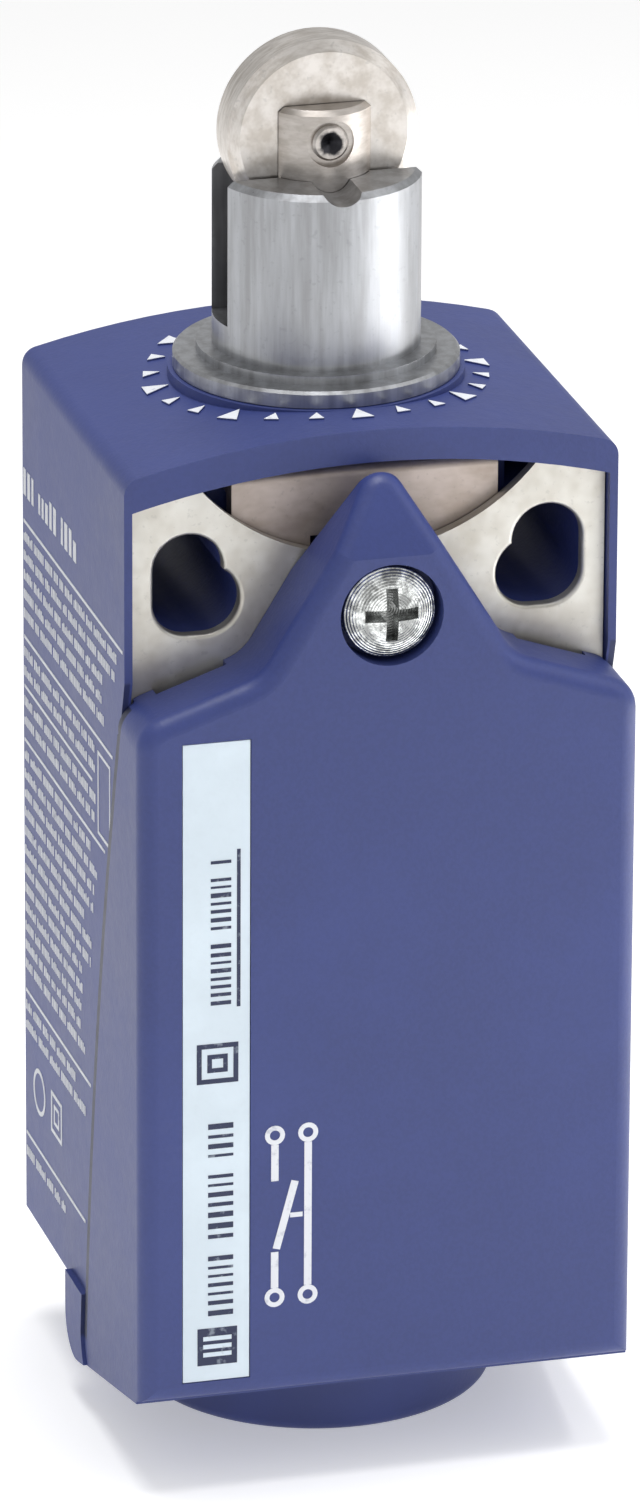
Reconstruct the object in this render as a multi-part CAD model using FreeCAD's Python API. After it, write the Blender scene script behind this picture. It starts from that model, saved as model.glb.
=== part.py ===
"""Compact limit switch with a steel roller-plunger head, in millimetres.

Frame: X to the right, Y to the back, Z up.  The origin is the centre of the
cable entry's mouth, on the axis of the head.  The switch faces -Y.
"""
import FreeCAD, Part
import math
import os

V = FreeCAD.Vector

# ---- housing ---------------------------------------------------------------
BODY_WIDTH = 30.2
BODY_DEPTH = 25.5
ROOF_Z = 65.0               # crown of the arched roof
ROOF_DROP = 2.0             # from the crown to the roof's long edges
WALL = 2.0
FLOOR_Z = 7.0               # underside of the housing floor
FLOOR_THICKNESS = 2.0
ROOF_EDGE_ROUND = 1.1
BODY_EDGE_ROUND = 0.6

# ---- front cover -----------------------------------------------------------
COVER_PROUD = 0.2           # cover's sides stand this far outside the housing's
COVER_AHEAD = 4.5           # from the housing's front to the cover's front
COVER_WALL = 1.8
COVER_EDGE_ROUND = 1.1
SHOULDER_DROP = 3.4         # fixing axis down to the corner of tongue and shoulder
SHOULDER_FALL = 2.6         # from that corner down to the cover's side
SHOULDER_CORNER_ROUND = 2.0
TONGUE_FOOT_ROUND = 3.0
TONGUE_FOOT_HALF = 7.75     # half width where the tongue meets the shoulder
TONGUE_TIP_RISE = 7.9       # fixing axis up to the tip of the tongue
TONGUE_TIP_RADIUS = 1.5
TONGUE_RAMP_RISE = 3.6      # fixing axis up to where the tongue's front starts to lean back
TONGUE_TIP_SETBACK = 2.2    # how far the tip stands behind the cover's front
TONGUE_TIP_THICKNESS = 0.8
TONGUE_RELIEF_RISE = 1.5    # fixing axis up to where the tongue's back leaves the plate
PARTING_TOP_DROP = 4.6      # fixing axis down to the top of the parting line
PARTING_FOOT_Y = -3.15      # where the parting line meets the hinge's height
PARTING_BOW = 1.35          # bulge of the parting line towards the back
PARTING_GAP = 0.2
RIM_ROOM_DROP = 6.0         # cover's side down to where its skirt clears the housing's rim
PRY_SLOT_FROM = 8.9         # slot for a screwdriver, behind each shoulder
PRY_SLOT_TO = 13.2
PRY_SLOT_DEPTH = 0.8
PRY_SLOT_DROP = 3.6         # shoulder's corner down to the slot's floor

# ---- chin and cover hinge --------------------------------------------------
CHIN_PROUD = 0.4            # chin's sides stand this far outside the housing's
CHIN_BACK_Y = 0.7
CHIN_BACK_Z = 2.0
CHIN_FRONT_Z = 5.9          # underside of the cover's front
CHIN_BACK_ROUND = 2.4
HINGE_Y = -6.5
HINGE_Z = 5.0
HINGE_STUD_RADIUS = 0.8
HINGE_LUG_RADIUS = 1.5
HINGE_LUG_THICKNESS = 1.3
HINGE_GAP = 0.05
SIDE_GAP = 0.2
SEAL_DEPTH = 0.8            # seal in the cover's rear edge: front to back
SEAL_INSET = 0.3            # inside of the cover's wall to the seal
SEAL_WIDTH = 0.8
SEAL_BAR_DEPTH = 1.6        # seal's bar across the top: front to back
SEAL_TOP_RISE = 0.4         # seal's top above the rounded corner's foot

# ---- fixing holes ----------------------------------------------------------
FIXING_DROP = 10.0          # roof crown down to the fixing axis
FIXING_SPACING = 20.0       # between the two round holes
SLOT_SPACING = 22.0         # between the two slots
FIXING_DIAMETER = 4.3
SLOT_RISE = 2.0
TUBE_WALL = 1.0

# ---- mounting plate --------------------------------------------------------
PLATE_SETBACK = 0.75        # from the housing's front to the plate's front
PLATE_THICKNESS = 0.8
PLATE_BELOW = 7.0           # below the fixing axis
PLATE_ABOVE = 6.9           # above the fixing axis
PLATE_GAP = 0.1
PLATE_HOLE_ROUND = 0.25     # rounded front edge of each fixing hole
RIM = 0.5                   # housing wall left beside the plate
PLATE_ARC_RADIUS = 13.4
PLATE_ARC_RISE = 15.5       # fixing axis up to the centre of the plate's upper arc
PLATE_NOTCH_GAP = 0.45      # round the cover screw

# ---- head lock fork --------------------------------------------------------
FORK_HALF_WIDTH = 8.15
FORK_THICKNESS = 1.4
FORK_BELOW_ROOF = 2.75      # roof crown down to the fork's upper face
FORK_TAB_THICKNESS = 1.2
FORK_TAB_GAP = 0.2
FORK_TAB_CORNER_WIDTH = 1.55
FORK_TAB_CORNER_RISE = 1.5
FORK_PRONG_END_Y = 5.0
FORK_GAP = 0.05
FORK_BEND_ROUND = 0.6
FORK_SHELF_GAP = 0.4        # fork's shelf to the spigot
FORK_SHELF_SETBACK = 2.2    # plate's back to the shelf's front
FORK_GUIDE_THICKNESS = 1.0

# ---- cover screw -----------------------------------------------------------
SCREW_HEAD_RADIUS = 2.8
SCREW_HEAD_HEIGHT = 2.2
SCREW_HEAD_PROUD = 0.15
SCREW_CORE_RADIUS = 1.25
SCREW_REACH = 3.0           # how far it turns into its insert
SCREW_HOLE_GAP = 0.25
PAN_DOME = 1.9              # pan heads, all sizes: radius of the dome over the head's radius
PAN_CROSS_REACH = 0.58      # arm of the cross over the head's radius
PAN_CROSS_HALF = 0.13       # half width of the arm over the head's radius
PAN_CROSS_DEPTH = 0.6       # depth of the cross over the head's height
COUNTERBORE_RADIUS = 3.15
INSERT_RADIUS = 2.2
INSERT_LENGTH = 3.4
INSERT_BORE_RADIUS = 1.5
INSERT_WAIST_FROM = 1.2     # insert's front to its waist
INSERT_WAIST_WIDTH = 0.8
INSERT_WAIST_DEPTH = 0.3
INSERT_BOSS_HALF = 2.95
WEB_HALF_HEIGHT = 2.2
WEB_THICKNESS = 1.6
RETAINER_THICKNESS = 0.6
RETAINER_RADIUS = 2.3
RETAINER_GAP = 0.1

# ---- label -----------------------------------------------------------------
LABEL_WIDTH = 4.1
LABEL_HEIGHT = 40.8
LABEL_THICKNESS = 0.25
LABEL_CENTRE_X = -10.65
LABEL_BOTTOM_Z = 7.2
LABEL_RECESS = 0.3
LABEL_GAP = 0.05

# ---- cable entry -----------------------------------------------------------
THREAD_RADIUS = 7.19        # wall of the tapped hole for an M16 x 1.5 gland
ENTRY_HEIGHT = 12.5
ENTRY_BOSS_RADIUS = 11.0
ENTRY_NECK_RADIUS = 9.2
ENTRY_FLANGE_RADIUS = 10.5
ENTRY_FLANGE_THICKNESS = 1.5
ENTRY_GASKET_THICKNESS = 0.6
ENTRY_GAP = 0.05
ENTRY_EDGE_ROUND = 0.8
ENTRY_COLLAR_STEP = 0.4     # collar inside the neck's radius
ENTRY_LIP_GAP = 1.0         # cover's underside to the boss, for the cover's swing

# ---- head ------------------------------------------------------------------
BUSH_RADIUS = 6.25
BUSH_TOP_RISE = 12.4        # above the roof crown
BUSH_CHAMFER = 0.35
RIM_NOTCH_RADIUS = 1.35     # half-round notch in the rim, front and back, for the axle
RIM_NOTCH_RISE = 0.65       # notch's centre above the rim
COLLAR_RADIUS = 8.6
COLLAR_THICKNESS = 1.0
STEP_RADIUS = 7.2
STEP_THICKNESS = 0.5
SPIGOT_RADIUS = 6.45
SPIGOT_LENGTH = 15.5
SPIGOT_GROOVE_RADIUS = 5.4
HEAD_GAP = 0.05
PAD_RADIUS = 8.9
HEAD_GASKET_THICKNESS = 0.6
HEAD_GASKET_INNER = 6.75
HEAD_GASKET_OUTER = 8.35
MARK_COUNT = 24
MARK_RADIUS = 9.85
MARK_LENGTH = 1.0
LONG_MARK_LENGTH = 1.5
MARK_RELIEF = 0.1

# ---- plunger and roller ----------------------------------------------------
STROKE = 5.0
PLUNGER_RADIUS = 3.3
PLUNGER_GAP = 0.05
SPRING_BORE_RADIUS = 4.2
FLANGE_RADIUS = 4.05
FLANGE_THICKNESS = 1.2
FLANGE_TOP_RISE = 1.3       # above the roof crown
ROD_RADIUS = 1.9
ROD_PROUD = 1.5             # below the spigot
ROLLER_RISE = 14.7          # roller axis above the roof crown
ROLLER_RADIUS = 5.85
ROLLER_WIDTH = 3.2
ROLLER_BEVEL = 0.35
ROLLER_SIDE_GAP = 0.1
POCKET_SIDE_GAP = 0.25
AXLE_RADIUS = 1.1
AXLE_LENGTH = 6.4
EAR_RISE = 2.0              # above the roller axis
PLUNGER_CHAMFER = 0.3
AXLE_SINK = 0.35            # depth and margin of the sink round each axle end
AXLE_CHAMFER = 0.15
AXLE_DIMPLE_RADIUS = 0.66
AXLE_DIMPLE_DEPTH = 0.5
WIPER_RISE = 1.7            # above the roof crown
WIPER_THICKNESS = 1.0
WIPER_RADIUS = 4.6
WIPER_LIP_TAPER = 0.35
WIPER_LIP_LAND = 0.4        # height of the lip's straight part
CAP_THICKNESS = 1.4
CAP_BORE_GAP = 0.15
PLUNGER_SPRING_WIRE = 0.7
PLUNGER_SPRING_TURNS = 8

# ---- contact block ---------------------------------------------------------
BLOCK_WIDTH = 25.0
BLOCK_HEIGHT = 25.0
BLOCK_FRONT_Y = -4.8
BLOCK_WALL = 1.6
BLOCK_LID_THICKNESS = 1.4
BLOCK_GAP = 0.05
LEDGE_DEPTH = 6.5           # housing's ledges over and under the block's back
LEDGE_OVERLAP = 1.2
LEDGE_THICKNESS = 1.25
STRIP_SHELF_SETBACK = 0.6   # strip's inner end to the shelf that carries it
ACTUATOR_PROUD = 0.95
ACTUATOR_RADIUS = 2.1
YOKE_THICKNESS = 0.8
YOKE_GAP = 0.35             # to the contact carrier
YOKE_TOP_GAP = 0.1          # to the block's roof
YOKE_DROP = 11.0            # block top down to the yoke's foot
CARRIER_HALF_WIDTH = 1.7
CARRIER_HALF_DEPTH = 1.9
CARRIER_TOP_DROP = 7.0      # block top down to the carrier's top
CARRIER_HEIGHT = 12.6
CONTACT_TRAVEL = 2.5
STRIP_THICKNESS = 0.8
STRIP_HALF_DEPTH = 1.4
NC_STRIP_DROP = 8.5         # block top down to the NC strips' underside
NO_STRIP_DROP = 21.6        # block top down to the NO strips' upper face
STRIP_INNER_X = 3.4
PAD_X = 4.6
PAD_DISC_RADIUS = 1.15
PAD_DISC_THICKNESS = 0.5
CONTACT_GAP = 0.04
BRIDGE_HALF_LENGTH = 5.8
BRIDGE_HALF_DEPTH = 1.1
BRIDGE_THICKNESS = 0.5
BRIDGE_DISC_INSET = 0.1     # bridge's disc inside the fixed disc's radius
BRIDGE_SPRING_LENGTH = 2.4
BRIDGE_SPRING_WIRE = 0.35
BRIDGE_SPRING_RADIUS = 0.85
BRIDGE_SPRING_TURNS = 4
TERMINAL_X = 8.2
TERMINAL_WIDTH = 5.4
TERMINAL_HEIGHT = 6.5
TERMINAL_SCREW_FROM_STRIP = 3.9
TERMINAL_HEAD_RADIUS = 2.1
TERMINAL_HEAD_HEIGHT = 1.8
TERMINAL_SHANK_RADIUS = 1.4
TERMINAL_SHANK_END_Y = -1.6
TERMINAL_HOLE_GAP = 0.2     # lid's hole round the shank
CLAMP_THICKNESS = 0.8
CLAMP_HALF_HEIGHT = 2.4
CLAMP_WING_REACH = 0.9      # ahead of the clamp's plate
CLAMP_WING_THICKNESS = 0.5
CLAMP_WING_HALF_HEIGHT = 1.6
CLAMP_LIFT = 1.0            # wire gap between clamp and terminal
RETURN_SPRING_Y = 5.5
RETURN_SPRING_RADIUS = 1.5
RETURN_SPRING_WIRE = 0.4
RETURN_SPRING_TURNS = 9

# ---- places worked out from the sizes above --------------------------------
HALF = BODY_WIDTH / 2
FRONT_Y = -BODY_DEPTH / 2
BACK_Y = BODY_DEPTH / 2
ROOF_RADIUS = (HALF ** 2 + ROOF_DROP ** 2) / (2 * ROOF_DROP)
ROOF_CENTRE_Z = ROOF_Z - ROOF_RADIUS
CEILING_Z = ROOF_Z - WALL
INNER_HALF = HALF - WALL
INNER_BACK_Y = BACK_Y - WALL
INNER_FLOOR_Z = FLOOR_Z + FLOOR_THICKNESS
FIXING_Z = ROOF_Z - FIXING_DROP
FIXING_RADIUS = FIXING_DIAMETER / 2
PLATE_FRONT_Y = FRONT_Y + PLATE_SETBACK
PLATE_BACK_Y = PLATE_FRONT_Y + PLATE_THICKNESS
COVER_HALF = HALF + COVER_PROUD
CHIN_HALF = HALF + CHIN_PROUD
COVER_INNER_HALF = COVER_HALF - COVER_WALL
COVER_FRONT_Y = FRONT_Y - COVER_AHEAD
COVER_SEAT_Y = PLATE_FRONT_Y - HEAD_GAP
PARTING_TOP_Z = FIXING_Z - PARTING_TOP_DROP
SHOULDER_Z = FIXING_Z - SHOULDER_DROP
COLLAR_Z = ROOF_Z + HEAD_GAP
COLLAR_TOP_Z = COLLAR_Z + COLLAR_THICKNESS
BUSH_TOP_Z = ROOF_Z + BUSH_TOP_RISE
SPIGOT_BOTTOM_Z = ROOF_Z - SPIGOT_LENGTH
FORK_TOP_Z = ROOF_Z - FORK_BELOW_ROOF
FORK_BOTTOM_Z = FORK_TOP_Z - FORK_THICKNESS
FLANGE_TOP_Z = ROOF_Z + FLANGE_TOP_RISE
FLANGE_BOTTOM_Z = FLANGE_TOP_Z - FLANGE_THICKNESS
ROLLER_Z = ROOF_Z + ROLLER_RISE
ROLLER_SLOT_HALF = ROLLER_WIDTH / 2 + ROLLER_SIDE_GAP
SLOT_BOTTOM_Z = ROLLER_Z - ROLLER_RADIUS - POCKET_SIDE_GAP
POCKET_BOTTOM_Z = SLOT_BOTTOM_Z - STROKE - POCKET_SIDE_GAP
ROD_TIP_Z = SPIGOT_BOTTOM_Z - ROD_PROUD
CAP_TOP_Z = SPIGOT_BOTTOM_Z + CAP_THICKNESS
SCREW_SEAT_Y = COVER_FRONT_Y - SCREW_HEAD_PROUD + SCREW_HEAD_HEIGHT
INSERT_FRONT_Y = PLATE_BACK_Y + PLATE_GAP
SCREW_TIP_Y = INSERT_FRONT_Y + SCREW_REACH
ACTUATOR_TOP_Z = ROD_TIP_Z - HEAD_GAP
BLOCK_TOP_Z = ACTUATOR_TOP_Z - ACTUATOR_PROUD
BLOCK_BOTTOM_Z = BLOCK_TOP_Z - BLOCK_HEIGHT
BLOCK_BACK_Y = INNER_BACK_Y - BLOCK_GAP
BLOCK_HALF = BLOCK_WIDTH / 2
BLOCK_LID_BACK_Y = BLOCK_FRONT_Y + BLOCK_LID_THICKNESS
BLOCK_FLOOR_Z = BLOCK_BOTTOM_Z + BLOCK_WALL
NC_STRIP_Z = BLOCK_TOP_Z - NC_STRIP_DROP
NO_STRIP_Z = BLOCK_TOP_Z - NO_STRIP_DROP
NC_BRIDGE_TOP_Z = NC_STRIP_Z - 2 * PAD_DISC_THICKNESS - CONTACT_GAP
NO_BRIDGE_BOTTOM_Z = NO_STRIP_Z + 2 * PAD_DISC_THICKNESS + CONTACT_GAP + CONTACT_TRAVEL
CARRIER_TOP_Z = BLOCK_TOP_Z - CARRIER_TOP_DROP
YOKE_FOOT_Z = BLOCK_TOP_Z - YOKE_DROP
TERMINAL_FRONT_Y = BLOCK_FRONT_Y - STRIP_THICKNESS
CLAMP_BACK_Y = TERMINAL_FRONT_Y - CLAMP_LIFT
CLAMP_FRONT_Y = CLAMP_BACK_Y - CLAMP_THICKNESS


# ---- shape helpers ---------------------------------------------------------
def box(x, y, z):
    """Box between a low and a high limit on each axis."""
    return Part.makeBox(x[1] - x[0], y[1] - y[0], z[1] - z[0], V(x[0], y[0], z[0]))


def round_x(radius, x, y, z):
    """Cylinder along X."""
    return Part.makeCylinder(radius, x[1] - x[0], V(x[0], y, z), V(1, 0, 0))


def round_y(radius, y, x, z):
    """Cylinder along Y."""
    return Part.makeCylinder(radius, y[1] - y[0], V(x, y[0], z), V(0, 1, 0))


def round_z(radius, z, x=0.0, y=0.0):
    """Cylinder along Z."""
    return Part.makeCylinder(radius, z[1] - z[0], V(x, y, z[0]), V(0, 0, 1))


def ring_z(outer, inner, z):
    """Flat ring on the head axis."""
    return round_z(outer, z).cut(round_z(inner, z))


def join(*shapes):
    """One solid from overlapping shapes, with the inner seams taken out."""
    return shapes[0].multiFuse(list(shapes[1:])).removeSplitter()


def mirrored(shape):
    """The same shape on the other side of the middle plane."""
    return shape.mirror(V(0, 0, 0), V(1, 0, 0))


def both_sides(shape):
    """The shape with its mirror image, as separate solids."""
    return Part.makeCompound([shape, mirrored(shape)])


def prism_y(points, y):
    """Outline of (x, z) points carried along Y."""
    wire = Part.makePolygon([V(px, y[0], pz) for px, pz in points + points[:1]])
    return Part.Face(wire).extrude(V(0, y[1] - y[0], 0))


def prism_x(points, x):
    """Outline of (y, z) points carried along X."""
    wire = Part.makePolygon([V(x[0], py, pz) for py, pz in points + points[:1]])
    return Part.Face(wire).extrude(V(x[1] - x[0], 0, 0))


def turned_z(points):
    """Outline of (radius, z) points turned about the head axis."""
    wire = Part.makePolygon([V(r, 0, z) for r, z in points + points[:1]])
    return Part.Face(wire).revolve(V(0, 0, 0), V(0, 0, 1), 360)


def turned_y(points, z):
    """Outline of (radius, y) points turned about a line along Y at height z."""
    wire = Part.makePolygon([V(r, y, z) for r, y in points + points[:1]])
    return Part.Face(wire).revolve(V(0, 0, z), V(0, 1, 0), 360)


def rounded(shape, radius, wanted):
    """Rounds the edges that the test picks by their bounding box."""
    edges = [edge for edge in shape.Edges if wanted(edge.BoundBox)]
    return shape.makeFillet(radius, edges)


def coil(radius, wire, turns, x, y, z):
    """Helical spring whose ends touch the two heights."""
    height = z[1] - z[0] - wire
    helix = Part.makeLongHelix(height / turns, height, radius)
    section = Part.Wire([Part.makeCircle(wire / 2, V(radius, 0, 0), V(0, 1, 0))])
    spring = Part.Wire(helix.Edges).makePipeShell([section], True, True)
    spring.translate(V(x, y, z[0] + wire / 2))
    return spring


def arched(half_width, bottom_z, inset, y):
    """Block with the roof's arched top, lowered by the inset, over a span of Y."""
    radius = ROOF_RADIUS - inset
    tall = box((-half_width, half_width), y, (bottom_z, ROOF_Z + 1))
    return tall.common(round_y(radius, y, 0, ROOF_CENTRE_Z))


def pan_screw(x, z, seat_y, tip_y, head_radius, head_height, core_radius):
    """Pan-head screw facing -Y, with a domed head and a cross recess."""
    front_y = seat_y - head_height
    dome_radius = PAN_DOME * head_radius
    head = round_y(head_radius, (front_y, seat_y), x, z)
    head = head.common(Part.makeSphere(dome_radius, V(x, front_y + dome_radius, z)))
    shank = round_y(core_radius, (seat_y - 0.1, tip_y), x, z)
    arm = PAN_CROSS_REACH * head_radius
    slot = PAN_CROSS_HALF * head_radius
    depth = (front_y - 0.1, front_y + PAN_CROSS_DEPTH * head_height)
    upright = box((x - slot, x + slot), depth, (z - arm, z + arm))
    level = box((x - arm, x + arm), depth, (z - slot, z + slot))
    return join(head, shank).cut(upright).cut(level)


# ---- shared outlines -------------------------------------------------------
def fixing_hole(side, radius, y):
    """Round hole run together with an upright slot a little further out."""
    hole_x = side * FIXING_SPACING / 2
    slot_x = side * SLOT_SPACING / 2
    slot_top_z = FIXING_Z + SLOT_RISE
    low_x = min(hole_x, slot_x)
    high_x = max(hole_x, slot_x)
    return join(
        round_y(radius, y, hole_x, FIXING_Z),
        round_y(radius, y, slot_x, FIXING_Z),
        round_y(radius, y, slot_x, slot_top_z),
        box((slot_x - radius, slot_x + radius), y, (FIXING_Z, slot_top_z)),
        box((low_x, high_x), y, (FIXING_Z - radius, FIXING_Z + radius)),
    )


def chin_z(y):
    """Height of the sloping underside at a depth."""
    slope = (CHIN_BACK_Z - CHIN_FRONT_Z) / (CHIN_BACK_Y - COVER_FRONT_Y)
    return CHIN_FRONT_Z + slope * (y - COVER_FRONT_Y)


def ahead_of_parting(gap):
    """Everything in front of the parting line, moved forward by a gap.

    The line is one bowed arc from the housing's front down to the height of the
    hinge, then an arc about the hinge, so that the cover can swing.
    """
    far_y = COVER_FRONT_Y - 5
    low_z = -5.0
    top = V(-2 * COVER_HALF, FRONT_Y - gap, PARTING_TOP_Z)
    foot = V(-2 * COVER_HALF, PARTING_FOOT_Y - gap, HINGE_Z)
    middle = (top + foot) * 0.5 + V(0, PARTING_BOW, 0)
    turn = PARTING_FOOT_Y - gap - HINGE_Y
    half_way = V(-2 * COVER_HALF, HINGE_Y + turn * math.cos(0.6), HINGE_Z - turn * math.sin(0.6))
    under = V(-2 * COVER_HALF, HINGE_Y + turn * math.cos(1.2), HINGE_Z - turn * math.sin(1.2))
    below = V(-2 * COVER_HALF, under.y, low_z)
    edges = [
        Part.Arc(top, middle, foot).toShape(),
        Part.Arc(foot, half_way, under).toShape(),
        Part.makeLine(under, below),
        Part.makeLine(below, V(-2 * COVER_HALF, far_y, low_z)),
        Part.makeLine(V(-2 * COVER_HALF, far_y, low_z), V(-2 * COVER_HALF, far_y, PARTING_TOP_Z)),
        Part.makeLine(V(-2 * COVER_HALF, far_y, PARTING_TOP_Z), top),
    ]
    return Part.Face(Part.Wire(edges)).extrude(V(4 * COVER_HALF, 0, 0))


# ---- housing ---------------------------------------------------------------
def housing_shell():
    """Outer box with its arched roof, hollowed and opened to the front."""
    outer = arched(HALF, FLOOR_Z, 0, (FRONT_Y, BACK_Y))
    outer = rounded(outer, ROOF_EDGE_ROUND, lambda b: b.YLength > 1 and b.ZMin > FLOOR_Z + 1
                    and b.XLength < 0.1)
    outer = rounded(outer, BODY_EDGE_ROUND, lambda b: b.YMin > BACK_Y - 0.01)
    pad = round_z(PAD_RADIUS, (ROOF_Z - ROOF_DROP, ROOF_Z))
    hollow = arched(INNER_HALF, INNER_FLOOR_Z, WALL, (FRONT_Y - 1, INNER_BACK_Y))
    recess = arched(HALF - RIM, PARTING_TOP_Z - PLATE_BELOW, WALL, (FRONT_Y - 1, PLATE_BACK_Y))
    shell = join(outer, pad).cut(hollow).cut(recess)
    return shell


def housing_chin():
    """Block under the floor that carries the cover's hinge lugs."""
    block = prism_x(
        [
            (PARTING_FOOT_Y - 1, chin_z(PARTING_FOOT_Y - 1)),
            (CHIN_BACK_Y, CHIN_BACK_Z),
            (CHIN_BACK_Y, FLOOR_Z + 0.5),
            (PARTING_FOOT_Y - 1, FLOOR_Z + 0.5),
        ],
        (-CHIN_HALF, CHIN_HALF),
    )
    block = rounded(block, CHIN_BACK_ROUND, lambda b: b.YMin > CHIN_BACK_Y - 0.01
                    and b.ZMax < CHIN_BACK_Z + 0.01)
    return block.cut(box((-HALF, HALF), (PARTING_FOOT_Y - 2, CHIN_BACK_Y + 1), (FLOOR_Z, FLOOR_Z + 1)))


def hinge_lug():
    """Right-hand lug, with the hole that the cover's stud turns in."""
    outer_x = COVER_INNER_HALF - SIDE_GAP
    inner_x = outer_x - HINGE_LUG_THICKNESS
    arm = box((inner_x, outer_x), (HINGE_Y, CHIN_BACK_Y - 1),
              (HINGE_Z - HINGE_LUG_RADIUS, HINGE_Z + HINGE_LUG_RADIUS))
    eye = round_x(HINGE_LUG_RADIUS, (inner_x, outer_x), HINGE_Y, HINGE_Z)
    return join(arm, eye)


def hinge_hole():
    """Hole for one hinge stud, on the right."""
    outer_x = COVER_INNER_HALF - SIDE_GAP
    return round_x(HINGE_STUD_RADIUS + HINGE_GAP, (outer_x - 2, outer_x + 1), HINGE_Y, HINGE_Z)


def index_marks():
    """Raised triangles round the head, tips inward, every third one larger."""
    marks = []
    for number in range(MARK_COUNT):
        length = LONG_MARK_LENGTH if number % 3 == 0 else MARK_LENGTH
        tip = MARK_RADIUS - length / 2
        base = MARK_RADIUS + length / 2
        half = 0.45 * length
        outline = [V(0, -tip, 0), V(half, -base, 0), V(-half, -base, 0), V(0, -tip, 0)]
        mark = Part.Face(Part.makePolygon(outline)).extrude(V(0, 0, WALL + 1))
        mark.translate(V(0, 0, ROOF_Z - 0.75 * WALL))
        mark.rotate(V(0, 0, 0), V(0, 0, 1), number * 360 / MARK_COUNT)
        marks.append(mark)
    skin = round_y(ROOF_RADIUS + MARK_RELIEF, (FRONT_Y, BACK_Y), 0, ROOF_CENTRE_Z)
    return [mark.common(skin) for mark in marks]


def fork_channel():
    """Right-hand shelf and guide that the lock fork slides on."""
    shelf_inner = SPIGOT_RADIUS + FORK_GAP + FORK_SHELF_GAP
    shelf_outer = FORK_HALF_WIDTH + FORK_GUIDE_THICKNESS
    depth = (PLATE_BACK_Y + FORK_SHELF_SETBACK, FORK_PRONG_END_Y + 1)
    shelf = box((shelf_inner, shelf_outer), depth, (FIXING_Z + SLOT_RISE, FORK_BOTTOM_Z - FORK_GAP))
    guide = box((FORK_HALF_WIDTH + FORK_GAP, shelf_outer), depth,
                (FORK_BOTTOM_Z - 1, CEILING_Z + 0.5))
    return join(shelf, guide)


def housing():
    """Housing with fixing tubes, screw boss, fork guides, hinge lugs and marks."""
    tubes = [fixing_hole(side, FIXING_RADIUS + TUBE_WALL, (PLATE_BACK_Y, BACK_Y - 0.5))
             for side in (-1, 1)]
    web = box((-FIXING_SPACING / 2, FIXING_SPACING / 2),
              (INSERT_FRONT_Y, INSERT_FRONT_Y + WEB_THICKNESS),
              (FIXING_Z - WEB_HALF_HEIGHT, FIXING_Z + WEB_HALF_HEIGHT))
    boss_end_y = INSERT_FRONT_Y + INSERT_LENGTH + 0.5
    boss = box((-INSERT_BOSS_HALF, INSERT_BOSS_HALF), (INSERT_FRONT_Y, boss_end_y),
               (FIXING_Z - INSERT_BOSS_HALF, FIXING_Z + INSERT_BOSS_HALF))
    ledge_x = (BLOCK_HALF + BLOCK_GAP - LEDGE_OVERLAP, INNER_HALF + 0.5)
    ledge_y = (INNER_BACK_Y - LEDGE_DEPTH, INNER_BACK_Y + 0.5)
    over_z = BLOCK_TOP_Z + BLOCK_GAP
    under_z = BLOCK_BOTTOM_Z - BLOCK_GAP
    ledge = join(
        box(ledge_x, ledge_y, (over_z, over_z + LEDGE_THICKNESS)),
        box(ledge_x, ledge_y, (under_z - LEDGE_THICKNESS, under_z)),
    )
    channel = fork_channel()
    chin = housing_chin()
    chin = chin.cut(ahead_of_parting(0))
    body = housing_shell().cut(ahead_of_parting(0))
    lug = hinge_lug()
    ledges = ledge.Solids + mirrored(ledge).Solids
    body = join(body, chin, lug, mirrored(lug), web, boss, *tubes, *ledges, channel, mirrored(channel))
    body = join(body, *index_marks())
    tools = [fixing_hole(side, FIXING_RADIUS, (FRONT_Y, BACK_Y + 1)) for side in (-1, 1)]
    tools.append(round_z(SPIGOT_RADIUS + HEAD_GAP, (CEILING_Z - 1, ROOF_Z + 1)))
    tools.append(ring_z(HEAD_GASKET_OUTER, HEAD_GASKET_INNER,
                        (ROOF_Z - HEAD_GASKET_THICKNESS, ROOF_Z + 1)))
    tools.append(round_y(INSERT_RADIUS, (INSERT_FRONT_Y - 1, INSERT_FRONT_Y + INSERT_LENGTH),
                         0, FIXING_Z))
    tools.append(round_z(ENTRY_BOSS_RADIUS + ENTRY_GAP, (-1, FLOOR_Z)))
    tools.append(entry_slot())
    tools.append(hinge_hole())
    tools.append(mirrored(hinge_hole()))
    for tool in tools:
        body = body.cut(tool)
    return body.removeSplitter()


def entry_slot():
    """U-shaped opening in the floor, open to the front, for the entry's neck."""
    half = ENTRY_NECK_RADIUS + ENTRY_GAP
    z = (FLOOR_Z - 0.5, INNER_FLOOR_Z + 0.5)
    return join(round_z(half, z), box((-half, half), (FRONT_Y - 1, 0), z))


def screw_insert():
    """Threaded brass insert behind the mounting plate."""
    y = (INSERT_FRONT_Y, INSERT_FRONT_Y + INSERT_LENGTH)
    blank = round_y(INSERT_RADIUS, y, 0, FIXING_Z)
    waist_y = (y[0] + INSERT_WAIST_FROM, y[0] + INSERT_WAIST_FROM + INSERT_WAIST_WIDTH)
    waist = round_y(INSERT_RADIUS + 1, waist_y, 0, FIXING_Z).cut(
        round_y(INSERT_RADIUS - INSERT_WAIST_DEPTH, waist_y, 0, FIXING_Z))
    return blank.cut(waist).cut(round_y(INSERT_BORE_RADIUS, (y[0] - 1, y[1] + 1), 0, FIXING_Z))


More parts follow.
